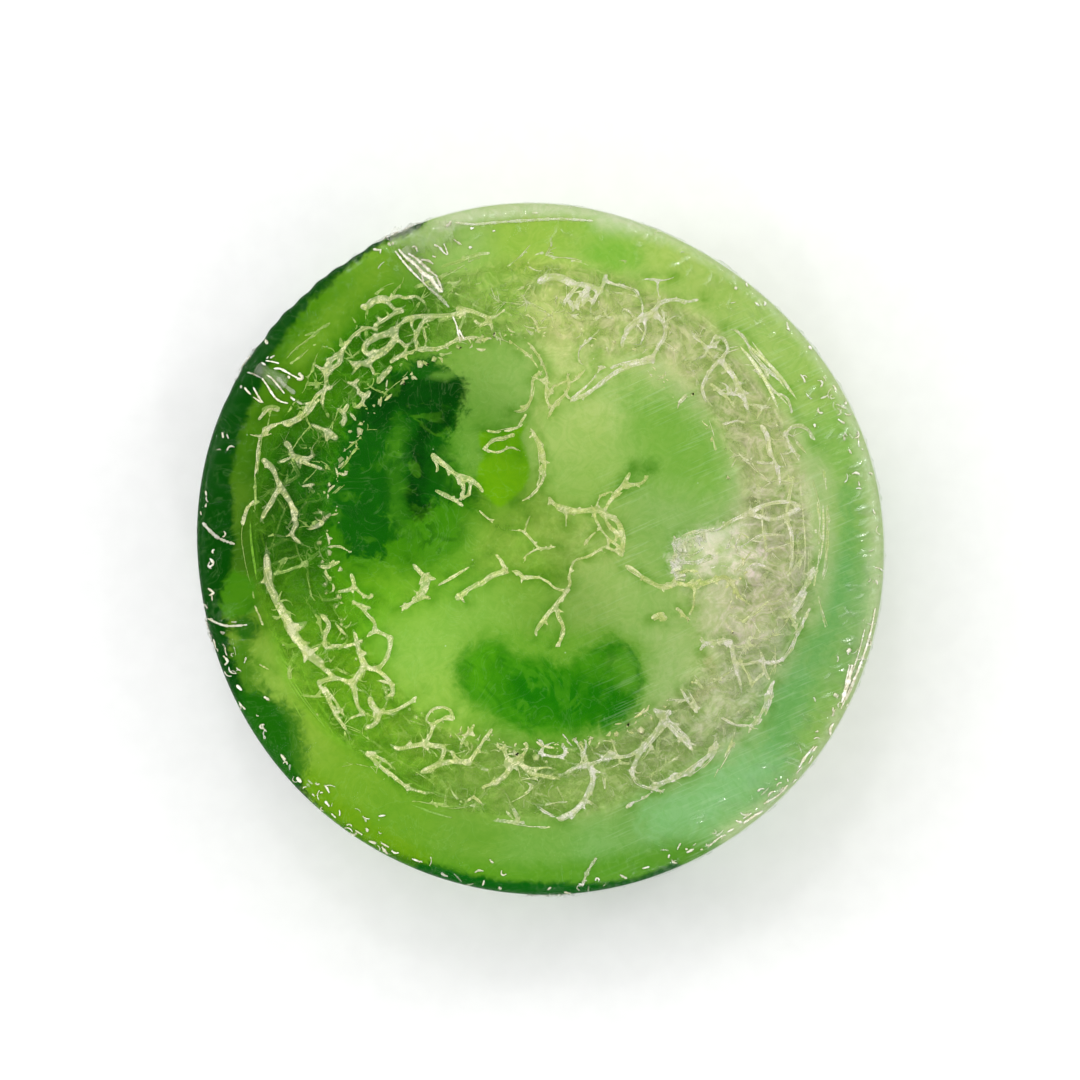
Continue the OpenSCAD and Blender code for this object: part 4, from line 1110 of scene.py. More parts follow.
def build_soap():
    """Casts each pour as one solid. A pour that can be seen into also has a cloudy solid in its depth."""
    flat, triangles, names = plan_mesh()
    solid_soap = {slot: soap_material(slot, rough) for slot, rough in (
        ("pale_soap", 0.4), ("mid_green_soap", 0.36), ("dark_green_soap", 0.3), ("yellow_green_soap", 0.36))}
    clear = {node: soap_material(node + "_see_through", 0.36, clear=True) for node in SEEN_INTO}
    cloud = cloud_material("cloudy_soap")
    for node in sorted(set(names)):
        own = triangles[names == node]
        levels = 26 if node in OUTER else 3
        points, faces = prism(flat, own, SOAP_TOP, SOAP_LOW, levels)
        if node in SEEN_INTO:
            obj = new_object(node + "_cast", points, faces, clear[node])
            paint_soap(obj.data, points, see_through(points[:, :2]))
            below, below_faces = prism(flat, own, SOAP_TOP - CLOUD_DEPTH, SOAP_LOW + CLOUD_DEPTH, 3)
            inner = new_object(node + "_depth", below, below_faces, cloud)
            paint_soap(inner.data, below)
            place(inner, SLOTS[node])
        else:
            obj = new_object(node + "_cast", points, faces, solid_soap[SLOTS[node]])
            paint_soap(obj.data, points)
        obj.data.set_sharp_from_angle(angle=math.radians(50))  # keeps the edge of the cut face crisp
        place(obj, SLOTS[node], node)


def see_through(xy):
    """How clear the soap is: clearest in the loofah's wall, and clouded next to the poured soap."""
    wall = smoothstep(-1.5, 1.5, -signed_distance(xy, WALL_INNER))
    inside = signed_distance(xy, WALL_OUTER)
    for name in ("left_chamber", "right_chamber", "lower_chamber", "lump", "left_swirl"):
        inside = np.minimum(inside, -signed_distance(xy, OUTLINES[name]))
    return smoothstep(0.0, 2.2, inside) * (0.3 + 0.28 * wall)


build_soap()


# ------------------------------------------------------------------ the loofah

def joins(table):
    """For each strand, whether its start and its end run into another strand."""
    lines = [curve(points, 0.3) for _, *points in table]
    out = []
    for i, line in enumerate(lines):
        others = np.concatenate([other for j, other in enumerate(lines) if j != i])
        out.append([float(np.hypot(*(others - end).T).min() < 0.8) for end in (line[0], line[-1])])
    return out


def strand_path(points, depth, width, joined_at, seed):
    """The points of a strand a set depth below the cut face. Its free ends dip away."""
    line = curve(points, 0.25)
    share = np.linspace(0, 1, len(line))
    dip = (1 - joined_at[0]) * (1 - smoothstep(0, 0.16, share)) + (1 - joined_at[1]) * smoothstep(0.84, 1,
                                                                                                  share)
    spots = np.c_[line, np.full(len(line), seed * 3.1)]
    line = line + 0.12 * np.stack([noise(spots, 1.6, 21), noise(spots, 1.6, 22)], 1)
    return np.c_[line, SOAP_TOP - depth - 0.4 * width * dip + 0.08 * noise(spots, 2.2, 23)]


def strand_widths(points, width, joined_at, seed):
    """Half widths along a strand: it swells and thins, and tapers to its free ends."""
    share = np.linspace(0, 1, len(points))
    first, last = (0.35 + 0.75 * at for at in joined_at)
    ends = (first + (1 - first) * smoothstep(0, 0.2, share)) * (last + (1 - last) * smoothstep(1, 0.8, share))
    return width / 2 * ends * (1 + 0.3 * noise(points + seed, 1.3, 31))


def twigs(strands, seed, spacing):
    """Short side branches that leave the strands at an angle and taper to a point."""
    random = np.random.default_rng(seed + 200)
    out = []
    for path, half in strands:
        length = np.linalg.norm(np.diff(path, axis=0), axis=1).sum()
        for _ in range(random.poisson(length / spacing)):
            at = random.integers(1, len(path) - 1)
            ahead = path[at + 1] - path[at - 1]
            way = math.atan2(ahead[1], ahead[0]) + random.choice((-1, 1)) * random.uniform(0.5, 1.3)
            t = np.linspace(0, 1, 8)
            angle = way + random.normal(0, 0.6) * t
            step = random.uniform(0.5, 1.9) / 7
            twig = path[at] + step * np.c_[np.cumsum(np.cos(angle)), np.cumsum(np.sin(angle)), 0 * t]
            twig[:, 2] -= random.uniform(0, 0.4) * t * t
            out.append((twig, np.maximum(half[at] * random.uniform(0.45, 0.8) * (1 - 0.7 * t), 0.06)))
    return out


def webbed(strands):
    """A mesh of strands that flow into one another where they meet, sliced off flush at the cut face."""
    every = np.concatenate([path for path, _ in strands])
    low = every.min(0) - 1.2
    size = np.ceil((every.max(0) + 1.2 - low) / VOXEL).astype(int)
    total = np.zeros(size, np.float32)
    blend = 0.09
    for path, half in strands:
        reach = half.max() + 0.6
        first = np.maximum(((path.min(0) - reach - low) / VOXEL).astype(int), 0)
        last = np.minimum(((path.max(0) + reach - low) / VOXEL).astype(int) + 1, size)
        best = np.full(last - first, 9.0, np.float32)
        for a, b, ra, rb in zip(path[:-1], path[1:], half[:-1], half[1:]):
            start = np.maximum(((np.minimum(a, b) - reach - low) / VOXEL).astype(int), first)
            stop = np.minimum(((np.maximum(a, b) + reach - low) / VOXEL).astype(int) + 1, last)
            axes = [(np.arange(start[k], stop[k]) * VOXEL + low[k]).astype(np.float32) for k in range(3)]
            x, y, z = np.meshgrid(*axes, indexing="ij")
            d = b - a
            t = np.clip(((x - a[0]) * d[0] + (y - a[1]) * d[1] + (z - a[2]) * d[2]) / (d @ d + 1e-9), 0, 1)
            gap = np.sqrt((x - a[0] - t * d[0]) ** 2 + (y - a[1] - t * d[1]) ** 2
                          + (z - a[2] - t * d[2]) ** 2)
            box = tuple(slice(start[k] - first[k], stop[k] - first[k]) for k in range(3))
            best[box] = np.minimum(best[box], gap - (ra + (rb - ra) * t))
        total[first[0]:last[0], first[1]:last[1], first[2]:last[2]] += np.exp(-np.minimum(best, 3) / blend)
    field = -blend * np.log(total + 1e-9)
    close = np.abs(field) < 0.45
    spots = np.argwhere(close) * VOXEL + low
    field[close] += 0.08 * noise(spots, 0.7, 41, 2) + 0.01
    above = (low[2] + VOXEL * np.arange(size[2]) - (SOAP_TOP + 0.06))[None, None, :]
    share = np.clip(0.5 + 0.5 * (above - field) / CUT_ROUNDING, 0, 1)
    field = field * (1 - share) + above * share + CUT_ROUNDING * share * (1 - share)
    grid = openvdb.FloatGrid(3.0)
    grid.copyFromArray(np.ascontiguousarray(np.minimum(field, 3.0)))
    points, triangles, quads = grid.convertToPolygons(isovalue=0.0, adaptivity=0.02)
    return points * VOXEL + low, [tuple(f[::-1]) for f in triangles] + [tuple(f[::-1]) for f in quads]


def tube(path, half, sides):
    """A swept round tube with closed ends: points and faces."""
    n = len(path)
    tangent = unit(np.gradient(path, axis=0))
    up = np.tile([0.0, 0, 1], (n, 1))
    up[np.abs(tangent[:, 2]) > 0.9] = (1, 0, 0)
    side = np.cross(tangent, up)
    side /= np.linalg.norm(side, axis=1)[:, None]
    top = np.cross(side, tangent)
    turn = np.arange(sides) * 2 * np.pi / sides
    ring = side[:, None] * np.cos(turn)[None, :, None] + top[:, None] * np.sin(turn)[None, :, None]
    points = (path[:, None] + ring * half[:, None, None]).reshape(-1, 3)
    faces = [(i * sides + j, i * sides + (j + 1) % sides, (i + 1) * sides + (j + 1) % sides,
              (i + 1) * sides + j)
             for i in range(n - 1) for j in range(sides)]
    faces += [tuple(range(sides))[::-1], tuple((n - 1) * sides + j for j in range(sides))]
    return points, faces


def joined(parts):
    """The points and faces of many parts as one list of each."""
    points, faces, start = [], [], 0
    for p, f in parts:
        points.append(p)
        faces += [tuple(int(v) + start for v in face) for face in f]
        start += len(p)
    return np.concatenate(points), faces


def frayed(strands, seed):
    """Fine filaments that leave the strands at their ends and here and there along them."""
    random = np.random.default_rng(seed)
    out = []
    for path, half in strands:
        for at in (0, -1) + tuple(random.integers(2, len(path) - 2, 1) if len(path) > 6 else ()):
            if random.random() > 0.6:
                continue
            step = 3 if at >= 0 else -3
            ahead = path[at] - path[min(max(at + step, -len(path)), len(path) - 1)]
            heading = math.atan2(ahead[1], ahead[0]) + random.normal(0, 0.5)
            for _ in range(random.integers(1, 4)):
                way = heading + random.normal(0, 0.35)
                length = random.uniform(0.7, 1.9)
                bend = random.normal(0, 0.5)
                t = np.linspace(0, 1, 6)
                angle = way + bend * t
                hair = np.c_[np.cumsum(np.cos(angle)), np.cumsum(np.sin(angle)), -0.2 * t * 6] * length / 6
                hair = path[at] + hair - hair[0]
                hair[:, 2] = np.minimum(hair[:, 2] + 0.1, SOAP_TOP)
                out.append((hair, np.maximum(half[at] * 0.34 * (1.1 - t), 0.03)))
    return out


def filaments(strands, seed):
    """The fine filaments that each strand is made of, which wander beside its core."""
    random = np.random.default_rng(seed + 100)
    out = []
    for path, half in strands:
        way = unit(np.gradient(path[:, :2], axis=0))
        side = np.c_[-way[:, 1], way[:, 0]]
        along = np.r_[0, np.cumsum(np.linalg.norm(np.diff(path, axis=0), axis=1))]
        for _ in range(int(1 + 4 * half.max())):
            first = int(random.uniform(0, 0.4) * len(path))
            last = max(first + 5, int(random.uniform(0.6, 1.0) * len(path)))
            phase, pace = random.uniform(0, 6), random.uniform(0.3, 0.9)
            offset = half * 0.75 * np.sin(along * pace + phase) + random.normal(0, 0.03)
            hair = path + np.c_[side * offset[:, None], 0.3 * np.cos(along * pace * 1.3 + phase) * half]
            hair[:, 2] = np.minimum(hair[:, 2] + 0.14, SOAP_TOP + 0.02)
            hair = hair[first:last]
            share = np.linspace(0, 1, len(hair))
            out.append((hair, random.uniform(0.035, 0.07) * (0.5 + np.sin(np.pi * share) * 0.6)))
    return out


def add_strands(name, strands, material, nodes, seed, extra=(), spacing=1.5, slim=0.88):
    """One piece of loofah: webbed strands with their side branches, filaments and frayed ends."""
    hairs = [(p, h) for p, h in frayed(strands, seed) + filaments(strands, seed) + list(extra) if len(p) > 2]
    cores = [(path, np.maximum(half * slim, 0.13)) for path, half in strands]
    cores += twigs(cores, seed, spacing)
    points, faces = joined(([webbed(cores)] if strands else []) + [tube(p, h, 5) for p, h in hairs])
    obj = new_object(name, points, faces, material)
    lines = cores + hairs
    runs = np.concatenate([unit(np.gradient(path, axis=0)) for path, _ in lines])
    halves = np.concatenate([half for _, half in lines])
    tree = tree_of(np.concatenate([path for path, _ in lines]))
    found = [tree.find(q) for q in points]
    nearest = [index for _, index, _ in found]
    flat_gap = np.hypot(*(points[:, :2] - np.array([spot[:2] for spot, _, _ in found])).T)
    # how near the centre line each point lies, for the painted shade at the strands' edges
    store(obj.data, "Core", np.clip(1 - flat_gap / (halves[nearest] + 0.04), 0, 1))
    store(obj.data, "Run", runs[nearest])
    store_dye(obj.data, points[:, :2])
    place(obj, "loofah_fibre", *nodes)


def at_cut_face(table, depth, seed):
    """Paths and half widths of a table's strands."""
    out = []
    for i, ((width, *points), at) in enumerate(zip(table, joins(table))):
        path = strand_path(points, depth + 0.1 * width, width, at, seed + i)
        out.append((path, strand_widths(path, width, at, seed + i)))
    return out


def wall_honeycomb(depth, seed, width, kept):
    """Strands of the net deeper in the wall: the edges of a shaken honeycomb bent round the loofah."""
    random = np.random.default_rng(seed)
    rows, cells = 3, 44
    pitch = (WALL_OUT - WALL_IN) / (1.5 * rows + 0.5)
    turn = 360 / cells
    shake = {}

    def corner(ring, step):
        key = (ring, step % (2 * cells))
        if key not in shake:
            shake[key] = random.normal(0, 0.42, 3)
        dr, da, dz = shake[key]
        return np.r_[polar(WALL_IN + ring * pitch / 2 + dr * pitch * 0.7, key[1] * turn / 2 + da * turn * 0.7,
                           LOOFAH_AT), SOAP_TOP - depth + dz]

    out = []
    for row in range(rows):
        for j in range(cells):
            ring, step = 2 + 3 * row, 2 * j + row
            spots = [corner(ring + 2, step), corner(ring + 1, step + 1), corner(ring - 1, step + 1),
                     corner(ring - 2, step), corner(ring - 1, step - 1), corner(ring + 1, step - 1)]
            for a, b in zip(spots[:4], spots[1:4]):
                if random.random() < kept:
                    line = curve([a, (a + b) / 2 + random.normal(0, 0.12, 3), b], 0.4)
                    out.append((line, width / 2 * random.uniform(0.5, 1.3) * np.ones(len(line))))
    return out


def skin_arcs(count, seed):
    """Long strands that run round the outside of the loofah."""
    random = np.random.default_rng(seed)
    out = []
    for _ in range(count):
        start = random.choice([random.uniform(-32, 28), random.uniform(145, 200), random.uniform(0, 360)])
        length = random.uniform(12, 40)
        r = WALL_OUT - abs(random.normal(0, 1.1)) + 0.5
        depth = random.uniform(0.0, 1.1)
        slant = random.normal(0, 1.2)
        angle = np.radians(start + np.linspace(0, length, max(8, int(length * 1.2))))
        radius = r + slant * np.linspace(-0.5, 0.5, len(angle)) + 0.3 * np.sin(angle * 9 + start)
        path = around(radius, angle, SOAP_TOP - depth - 0.4 * np.sin(angle * 5) ** 2, LOOFAH_AT)
        taper = np.sin(np.linspace(0.15, np.pi - 0.15, len(angle))) ** 0.5
        out.append((path, random.uniform(0.1, 0.3) * taper))
    return out


def wisps(count, seed):
    """Short loose fibres and little forks that fill the wall near the cut face."""
    random = np.random.default_rng(seed)
    out = []
    for _ in range(count):
        a = random.uniform(0, 360)
        start = polar(random.uniform(WALL_IN + 0.3, WALL_OUT - 0.5), a, LOOFAH_AT)
        way = random.uniform(0, 2 * np.pi)
        depth = random.uniform(0, 0.7) ** 1.3
        for _ in range(random.integers(1, 4)):
            length = random.uniform(0.6, 2.2)
            t = np.linspace(0, 1, 8)
            bend = way + random.normal(0, 0.7) + random.normal(0, 1.4) * t
            path = stroll(bend, length) + (*start, 0)
            path[:, 2] = np.minimum(SOAP_TOP - depth - 0.4 * t * random.uniform(-0.3, 1), SOAP_TOP + 0.02)
            out.append((path, np.maximum(random.uniform(0.07, 0.19) * (1 - 0.7 * t), 0.03)))
            way += random.uniform(1.6, 2.6)
    return out


def lining_fibres(seed):
    """The cut ends of the lengthwise fibres of the inner lining, with the bits that fray off them."""
    random = np.random.default_rng(seed)
    out = []
    for a in np.arange(0, 360, 2.3):
        shown = 0.35 + 0.65 * max(smoothstep(70, 45, abs(a - 150)), smoothstep(40, 15, abs(a - 275)))
        x, y = polar(WALL_IN + 0.4 + random.normal(0, 0.5), a + random.normal(0, 0.9), LOOFAH_AT)
        if random.random() > shown + 0.25:
            continue
        top = SOAP_TOP + 0.04 - random.uniform(0, 0.3) * (1.15 - shown)
        z = np.array([top - 4.5, top - 1.2, top - 0.15, top])
        path = np.c_[np.array([x, y]) + random.normal(0, 0.1, (4, 2)), z]
        out.append((path, random.uniform(0.12, 0.3 + 0.2 * shown) ** 1.3 * np.array([1.4, 1.4, 1.4, 1.1])))
        for _ in range(random.integers(0, 2 + int(3 * shown))):
            way = math.radians(a + 90 + random.normal(0, 50))
            length = random.uniform(0.5, 2.2)
            t = np.linspace(-0.5, 0.5, 5)
            bend = way + random.normal(0, 0.8) * t
            start = polar(WALL_IN + 0.3 + random.normal(0, 0.5), a, LOOFAH_AT)
            path = np.stack([start[0] + np.cos(bend) * t * length, start[1] + np.sin(bend) * t * length,
                             SOAP_TOP - random.uniform(0, 0.3) - t * t * 0.6], 1)
            out.append((path, random.uniform(0.08, 0.24) * (1 - 1.2 * np.abs(t))))
    return out


def fan_pad(seed):
    """The fine fibres of the pale pad at the right, which fan out towards the wall."""
    random = np.random.default_rng(seed)
    out = []
    for _ in range(420):
        reach = random.uniform(0, 1) ** 1.6 * 12
        share = np.clip(random.normal(0, 0.6), -1.3, 1.1)
        start = np.array([15.0 + reach, -0.9 + share * (1.7 + 0.34 * reach) + 0.03 * reach])
        spread = share * 0.5 + random.normal(0, 0.45)
        length = random.uniform(0.8, 3.4)
        t = np.linspace(0, 1, 7)
        way = spread + random.normal(0, 0.6) * t
        path = stroll(way, length)
        path = np.r_[start, SOAP_TOP + 0.02 - random.uniform(0, 0.35) - 0.01 * reach ** 2] + path
        path[:, 2] -= 0.35 * t * random.uniform(0, 1)
        out.append((path, np.maximum(random.uniform(0.05, 0.17) * (1 - 0.6 * t), 0.03)))
    return out


def pad_fringe(seed):
    """The ragged left edge of the pad: thick short ends of fibres that point away from it."""
    random = np.random.default_rng(seed)
    edge = curve([(15.6, -3.4), (15.2, -2.6), (14.9, -1.6), (15.2, -0.6), (15.6, 0.3), (16.8, 1.1),
                  (18.6, 1.8)], 0.16)
    out = []
    for k in range(len(edge)):
        way = math.radians(np.interp(k, (0, len(edge) - 1), (205, 120)) + random.normal(0, 26))
        length = random.uniform(0.8, 2.0)
        t = np.linspace(-0.6, 0.4, 7)
        z = SOAP_TOP - 0.02 - 0.3 * np.maximum(t, 0) - random.uniform(0, 0.12)
        path = np.c_[edge[k, 0] + np.cos(way + 0.5 * t) * t * length,
                     edge[k, 1] + np.sin(way + 0.5 * t) * t * length, z]
        out.append((path, random.uniform(0.12, 0.24) * (1 - 1.6 * np.maximum(t, 0))))
    return out


def build_loofah():
    """Each part of the loofah, from its own strands, in the paint of its depth."""
    bright = fibre_material("loofah_strand", (246, 246, 228), tint=0.05)
    left = fibre_material("loofah_strand_green", (248, 250, 196), tint=0.05, green=0.1)
    septum = fibre_material("loofah_septum_strand", (236, 242, 180), tint=0.1)
    deep = fibre_material("loofah_deep_strand", (250, 252, 220), deep=4.0, tint=0.2, green=1.0)
    middle = fibre_material("loofah_wisp", (238, 244, 204), deep=2.2, tint=0.12, green=0.9,
                            greener=(186, 220, 112))
    soft = fibre_material("loofah_pad_fibre", (240, 241, 220), tint=0.15)
    for seed, (side, table) in enumerate(WALL_STRANDS.items(), 1):
        look = left if "left" in side else bright
        nodes = ["loofah_wall_net"] if side == "upper_left" else []
        add_strands("loofah_wall_net_" + side, at_cut_face(table, 0.07, seed * 40), look, nodes, seed,
                    slim=1.16 if "left" in side else 1.1)
    add_strands("loofah_wall_net_deep", wall_honeycomb(0.95, 5, 0.5, 0.5), deep, [], 5)
    add_strands("loofah_wall_net_middle", wall_honeycomb(0.22, 15, 0.42, 0.62), middle, [], 15,
                spacing=2.0, slim=0.9)
    add_strands("loofah_wall_net_wisps", [], middle, [], 13, wisps(190, 13))
    add_strands("loofah_outer_skin_strands", at_cut_face(SKIN_STRANDS, 0.1, 460), middle, [], 14)
    add_strands("loofah_outer_skin_arcs", [], deep, ["loofah_outer_skin"], 6, skin_arcs(110, 6))
    add_strands("loofah_inner_lining_fibres", [], left, ["loofah_inner_lining"], 7, lining_fibres(7))
    add_strands("loofah_septum_upper_strands", at_cut_face(UPPER_SEPTUM, 0.02, 300), septum,
                ["loofah_septum_upper"], 8)
    add_strands("loofah_septum_right_strands", at_cut_face(RIGHT_SEPTUM, 0.02, 340), septum,
                ["loofah_septum_right"], 9)
    add_strands("loofah_septum_right_pad", [], soft, [], 10, fan_pad(10))
    add_strands("loofah_septum_right_pad_strands", at_cut_face(PAD_STRANDS, 0.06, 500), bright, [], 16,
                pad_fringe(16))
    add_strands("loofah_septum_left_strands", at_cut_face(LEFT_SEPTUM, 0.02, 380), septum,
                ["loofah_septum_left"], 11)
    add_strands("loofah_core_strand_tangle", at_cut_face(CORE_STRANDS, 0.02, 420), septum,
                ["loofah_core_strands"], 12)


build_loofah()


# ------------------------------------------------------------------ the film

# The pleats of the two gathered corners that lie on the cut face: how bright each one's painted highlight is,
# width and points.
PLEATS = [
    (0.16, 1.5, (-15.4, 34), (-14, 32.3), (-12.6, 30.8), (-11.2, 29)),
    (0.12, 2.6, (-16.5, 35.2), (-14, 35), (-11.5, 35.4), (-9.8, 35.8)),
    (0.14, 1.4, (-32, 20.6), (-30.4, 19.6), (-28.6, 18.6)),
    (0.95, 0.2, (-16.3, 33.7), (-15.3, 32.4), (-14.3, 31.3), (-13.4, 30.4), (-12.6, 29.6)),
    (0.3, 0.3, (-12.6, 29.6), (-12, 29.1), (-11, 28.2), (-10.2, 27.3)),
    (1.0, 0.3, (-15.9, 33.9), (-15.1, 33), (-14.2, 32.3), (-13.4, 31.5), (-12.6, 30.9), (-12, 30.7)),
    (0.9, 0.24, (-14.8, 33.4), (-14, 32.9), (-13, 32), (-12.2, 31.3), (-11.5, 30.8)),
    (1.0, 0.34, (-13.9, 32), (-13.1, 31.1), (-12.2, 30.5), (-11.9, 30.1), (-11.3, 29.3), (-10.9, 29.1)),
    (0.9, 0.16, (-12.4, 30.8), (-12, 30), (-11.5, 29.4)),
    (0.7, 0.16, (-11.7, 30.9), (-11.3, 30.1), (-11, 29.3)),
    (0.6, 0.16, (-13.3, 31), (-13.1, 30.2)),
    (0.6, 0.2, (-13.4, 32.7), (-12.6, 32.6), (-12, 32.2)),
    (0.9, 0.22, (-12.1, 33.1), (-11.7, 33)),
    (0.9, 0.16, (-14.4, 34.1), (-14, 34.2), (-13.8, 33.6)),
    (0.8, 0.18, (-11.9, 34.4), (-11.3, 34.1), (-10.8, 33.5), (-10.4, 33.3), (-10.5, 33.8), (-10.8, 34.5)),
    (0.7, 0.2, (-9.7, 35), (-9.3, 34.7), (-8.8, 34.4)),
    (0.8, 0.22, (-8, 34.1), (-7.6, 34.1)),
    (0.9, 0.24, (-7.8, 36.2), (-7.4, 36.3)),
    (0.6, 0.3, (-10.6, 36.5), (-10.2, 36.7), (-10, 37.1)),
    (0.35, 0.3, (-9.5, 36.9), (-7.4, 36.7), (-5, 36.9), (-2, 37.1), (2, 37.3), (6, 37.1)),
    (0.8, 0.2, (-5.3, 35.9), (-5, 36)),
    (0.75, 0.2, (-17.1, 34.6), (-16.8, 34.3)),
    (0.7, 0.2, (-16.6, 34.7), (-16.5, 34.4)),
    (0.85, 0.16, (-9.8, 26.3), (-9.4, 25.4), (-9.15, 24.3), (-8.95, 23.5)),
    (0.95, 0.2, (-9.1, 24.8), (-8.8, 24.2), (-8.5, 23.7)),
    (0.8, 0.14, (-18, 33.4), (-17.9, 33.9)),
    (1.0, 0.2, (-30, 20.4), (-29.3, 20.4), (-28.5, 20), (-27.8, 19.6), (-27.2, 19.3)),
    (1.0, 0.3, (-27.4, 19.3), (-26.9, 19.2), (-26.8, 19.5), (-27.2, 19.9)),
    (1.0, 0.18, (-30.8, 19.7), (-30.2, 19.3), (-29.6, 18.6), (-29.1, 18), (-28.8, 17.6)),
    (1.0, 0.18, (-31.3, 19.3), (-30.8, 18.6), (-30.3, 17.8), (-29.8, 17.1), (-29.2, 16.7), (-28.4, 16.5)),
    (0.3, 0.16, (-33, 20), (-32.3, 19.8), (-31.3, 19.3)),
    (1.0, 0.18, (-33.3, 18.3), (-33, 17.9), (-32.6, 17.5)),
    (1.0, 0.18, (-32.3, 18.3), (-31.8, 17.4), (-31.3, 16.6), (-31.7, 16.8), (-32.3, 17.2)),
    (1.0, 0.16, (-30.9, 21.3), (-30.2, 21.2), (-29.4, 21)),
    (0.9, 0.16, (-31.4, 21.1), (-30.9, 20.8)),
    (0.6, 0.14, (-30.8, 21.5), (-30.6, 21.8)),
    (0.6, 0.14, (-30.4, 21.6), (-29.9, 21.9)),
    (0.9, 0.24, (-31, 23.7), (-30.7, 23.2)),
    (0.9, 0.2, (-28.1, 17.2), (-27.6, 16.8)),
    (0.35, 0.24, (-27.4, 16.7), (-26.8, 16.4)),
    (0.9, 0.24, (-28.4, 19.6), (-28.2, 19.3)),
    (0.25, 0.4, (-29.6, 19.4), (-28.6, 18.4), (-27.6, 17.6)),
    (0.9, 0.2, (-35.8, 13.2), (-35.7, 12.6)),
    (0.6, 0.16, (-35.3, 13), (-35.1, 12.5)),
]

# Puckers on the rest of the rim, with painted highlights, in the same way.
PUCKERS = [
    (0.9, 0.22, (37.9, -6.6), (37.3, -9.6), (36.2, -13), (34.9, -16), (34, -18)),
    (0.6, 0.16, (36.7, -9), (35.8, -12.4), (34.6, -15.4)),
    (0.8, 0.2, (35, -13), (34.6, -15), (34.2, -17)),
    (0.7, 0.2, (28, -26.6), (27, -27.7), (25.3, -28.7)),
    (0.9, 0.26, (33.2, -19.6), (32.8, -20.3), (32.9, -21)), (0.9, 0.2, (31.3, -22.2), (30.8, -22.8)),
    (0.8, 0.2, (21.9, -31.5), (21.2, -31.9)), (0.8, 0.2, (17.4, -33.8), (16.6, -34.2)),
    (0.7, 0.16, (29.6, -24.6), (29, -25.2)), (0.6, 0.16, (12.4, -35.8), (11.6, -36)),
    (0.9, 0.3, (22, 29.6), (22.3, 29.4)), (0.8, 0.2, (24.3, 27.9), (24.8, 27.5)),
    (0.8, 0.22, (27.9, 25), (28.2, 24.8)),
    (0.9, 0.26, (30.4, 23), (30.7, 22.6)), (0.8, 0.2, (31, 14.2), (31.1, 13.8)),
    (0.8, 0.2, (34.4, 13.2), (34.7, 12.8)),
    (0.8, 0.2, (34.9, 11.3), (35.2, 10.8)), (0.8, 0.22, (36, 7.7), (36.1, 7.2)),
    (0.9, 0.2, (-37.7, 6.6), (-37.6, 6.1)), (0.9, 0.2, (-37.6, 5.2), (-37.7, 4.8)),
    (0.8, 0.16, (-38.3, 4.3), (-38.2, 3.9)),
    (0.9, 0.2, (-37.2, -1), (-36.8, -1.6), (-37.3, -2)),
    (0.9, 0.2, (-37.4, -4.4), (-36.8, -4.9), (-37.3, -5.2)),
    (0.9, 0.24, (-35.7, -12), (-35.2, -12.6), (-35.5, -13)), (0.9, 0.24, (-34.2, -15.3), (-33.6, -15.9)),
    (0.9, 0.24, (-31.1, -16.6), (-30.5, -17)), (0.9, 0.26, (-29.2, -23.1), (-28.7, -23.8)),
    (0.9, 0.26, (-27.4, -25.7), (-26.9, -26.3)), (0.9, 0.22, (-24.2, -28.4), (-23.7, -29)),
    (0.8, 0.16, (-23.5, -29.8), (-23, -30.3)), (0.8, 0.16, (-20.8, -31.7), (-20, -32.2)),
    (0.9, 0.16, (-17.9, -33.1), (-17, -33.6)), (0.8, 0.16, (-14.4, -34.9), (-13.6, -35.2)),
    (0.5, 0.3, (-38, 3), (-36.4, 1.4), (-34.4, 0.6)), (0.6, 0.2, (-37.5, -7.8), (-35.4, -8.6), (-33, -8.5)),
    (0.4, 0.3, (4.8, -38), (5.4, -36.4), (6.4, -34.8)),
    (1.0, 0.34, (35.3, -13), (35, -14.4), (34.5, -16), (34.1, -17.3)),
    (0.7, 0.2, (36, -13.4), (35.4, -15.2), (34.6, -17)),
    (0.9, 0.5, (35.1, -11.2), (34.7, -11.6)), (0.8, 0.4, (33.2, -16.3), (33.7, -16.6)),
    (0.9, 0.24, (31, -22.2), (30.4, -22.9), (29.8, -23.7), (29.3, -24.6)),
    (0.7, 0.2, (33.1, -17.8), (33.2, -18.8)),
    (0.8, 0.24, (25.2, -29.5), (24.2, -30.1), (23, -30.9)),
    (0.7, 0.2, (20.6, -32.3), (19.8, -32.9), (19, -33.6)),
]


def film_height(xy):
    """The height of the film at places on the cut face and on its rounded rim."""
    return SOAP_TOP + SKIN - rim_drop(xy)


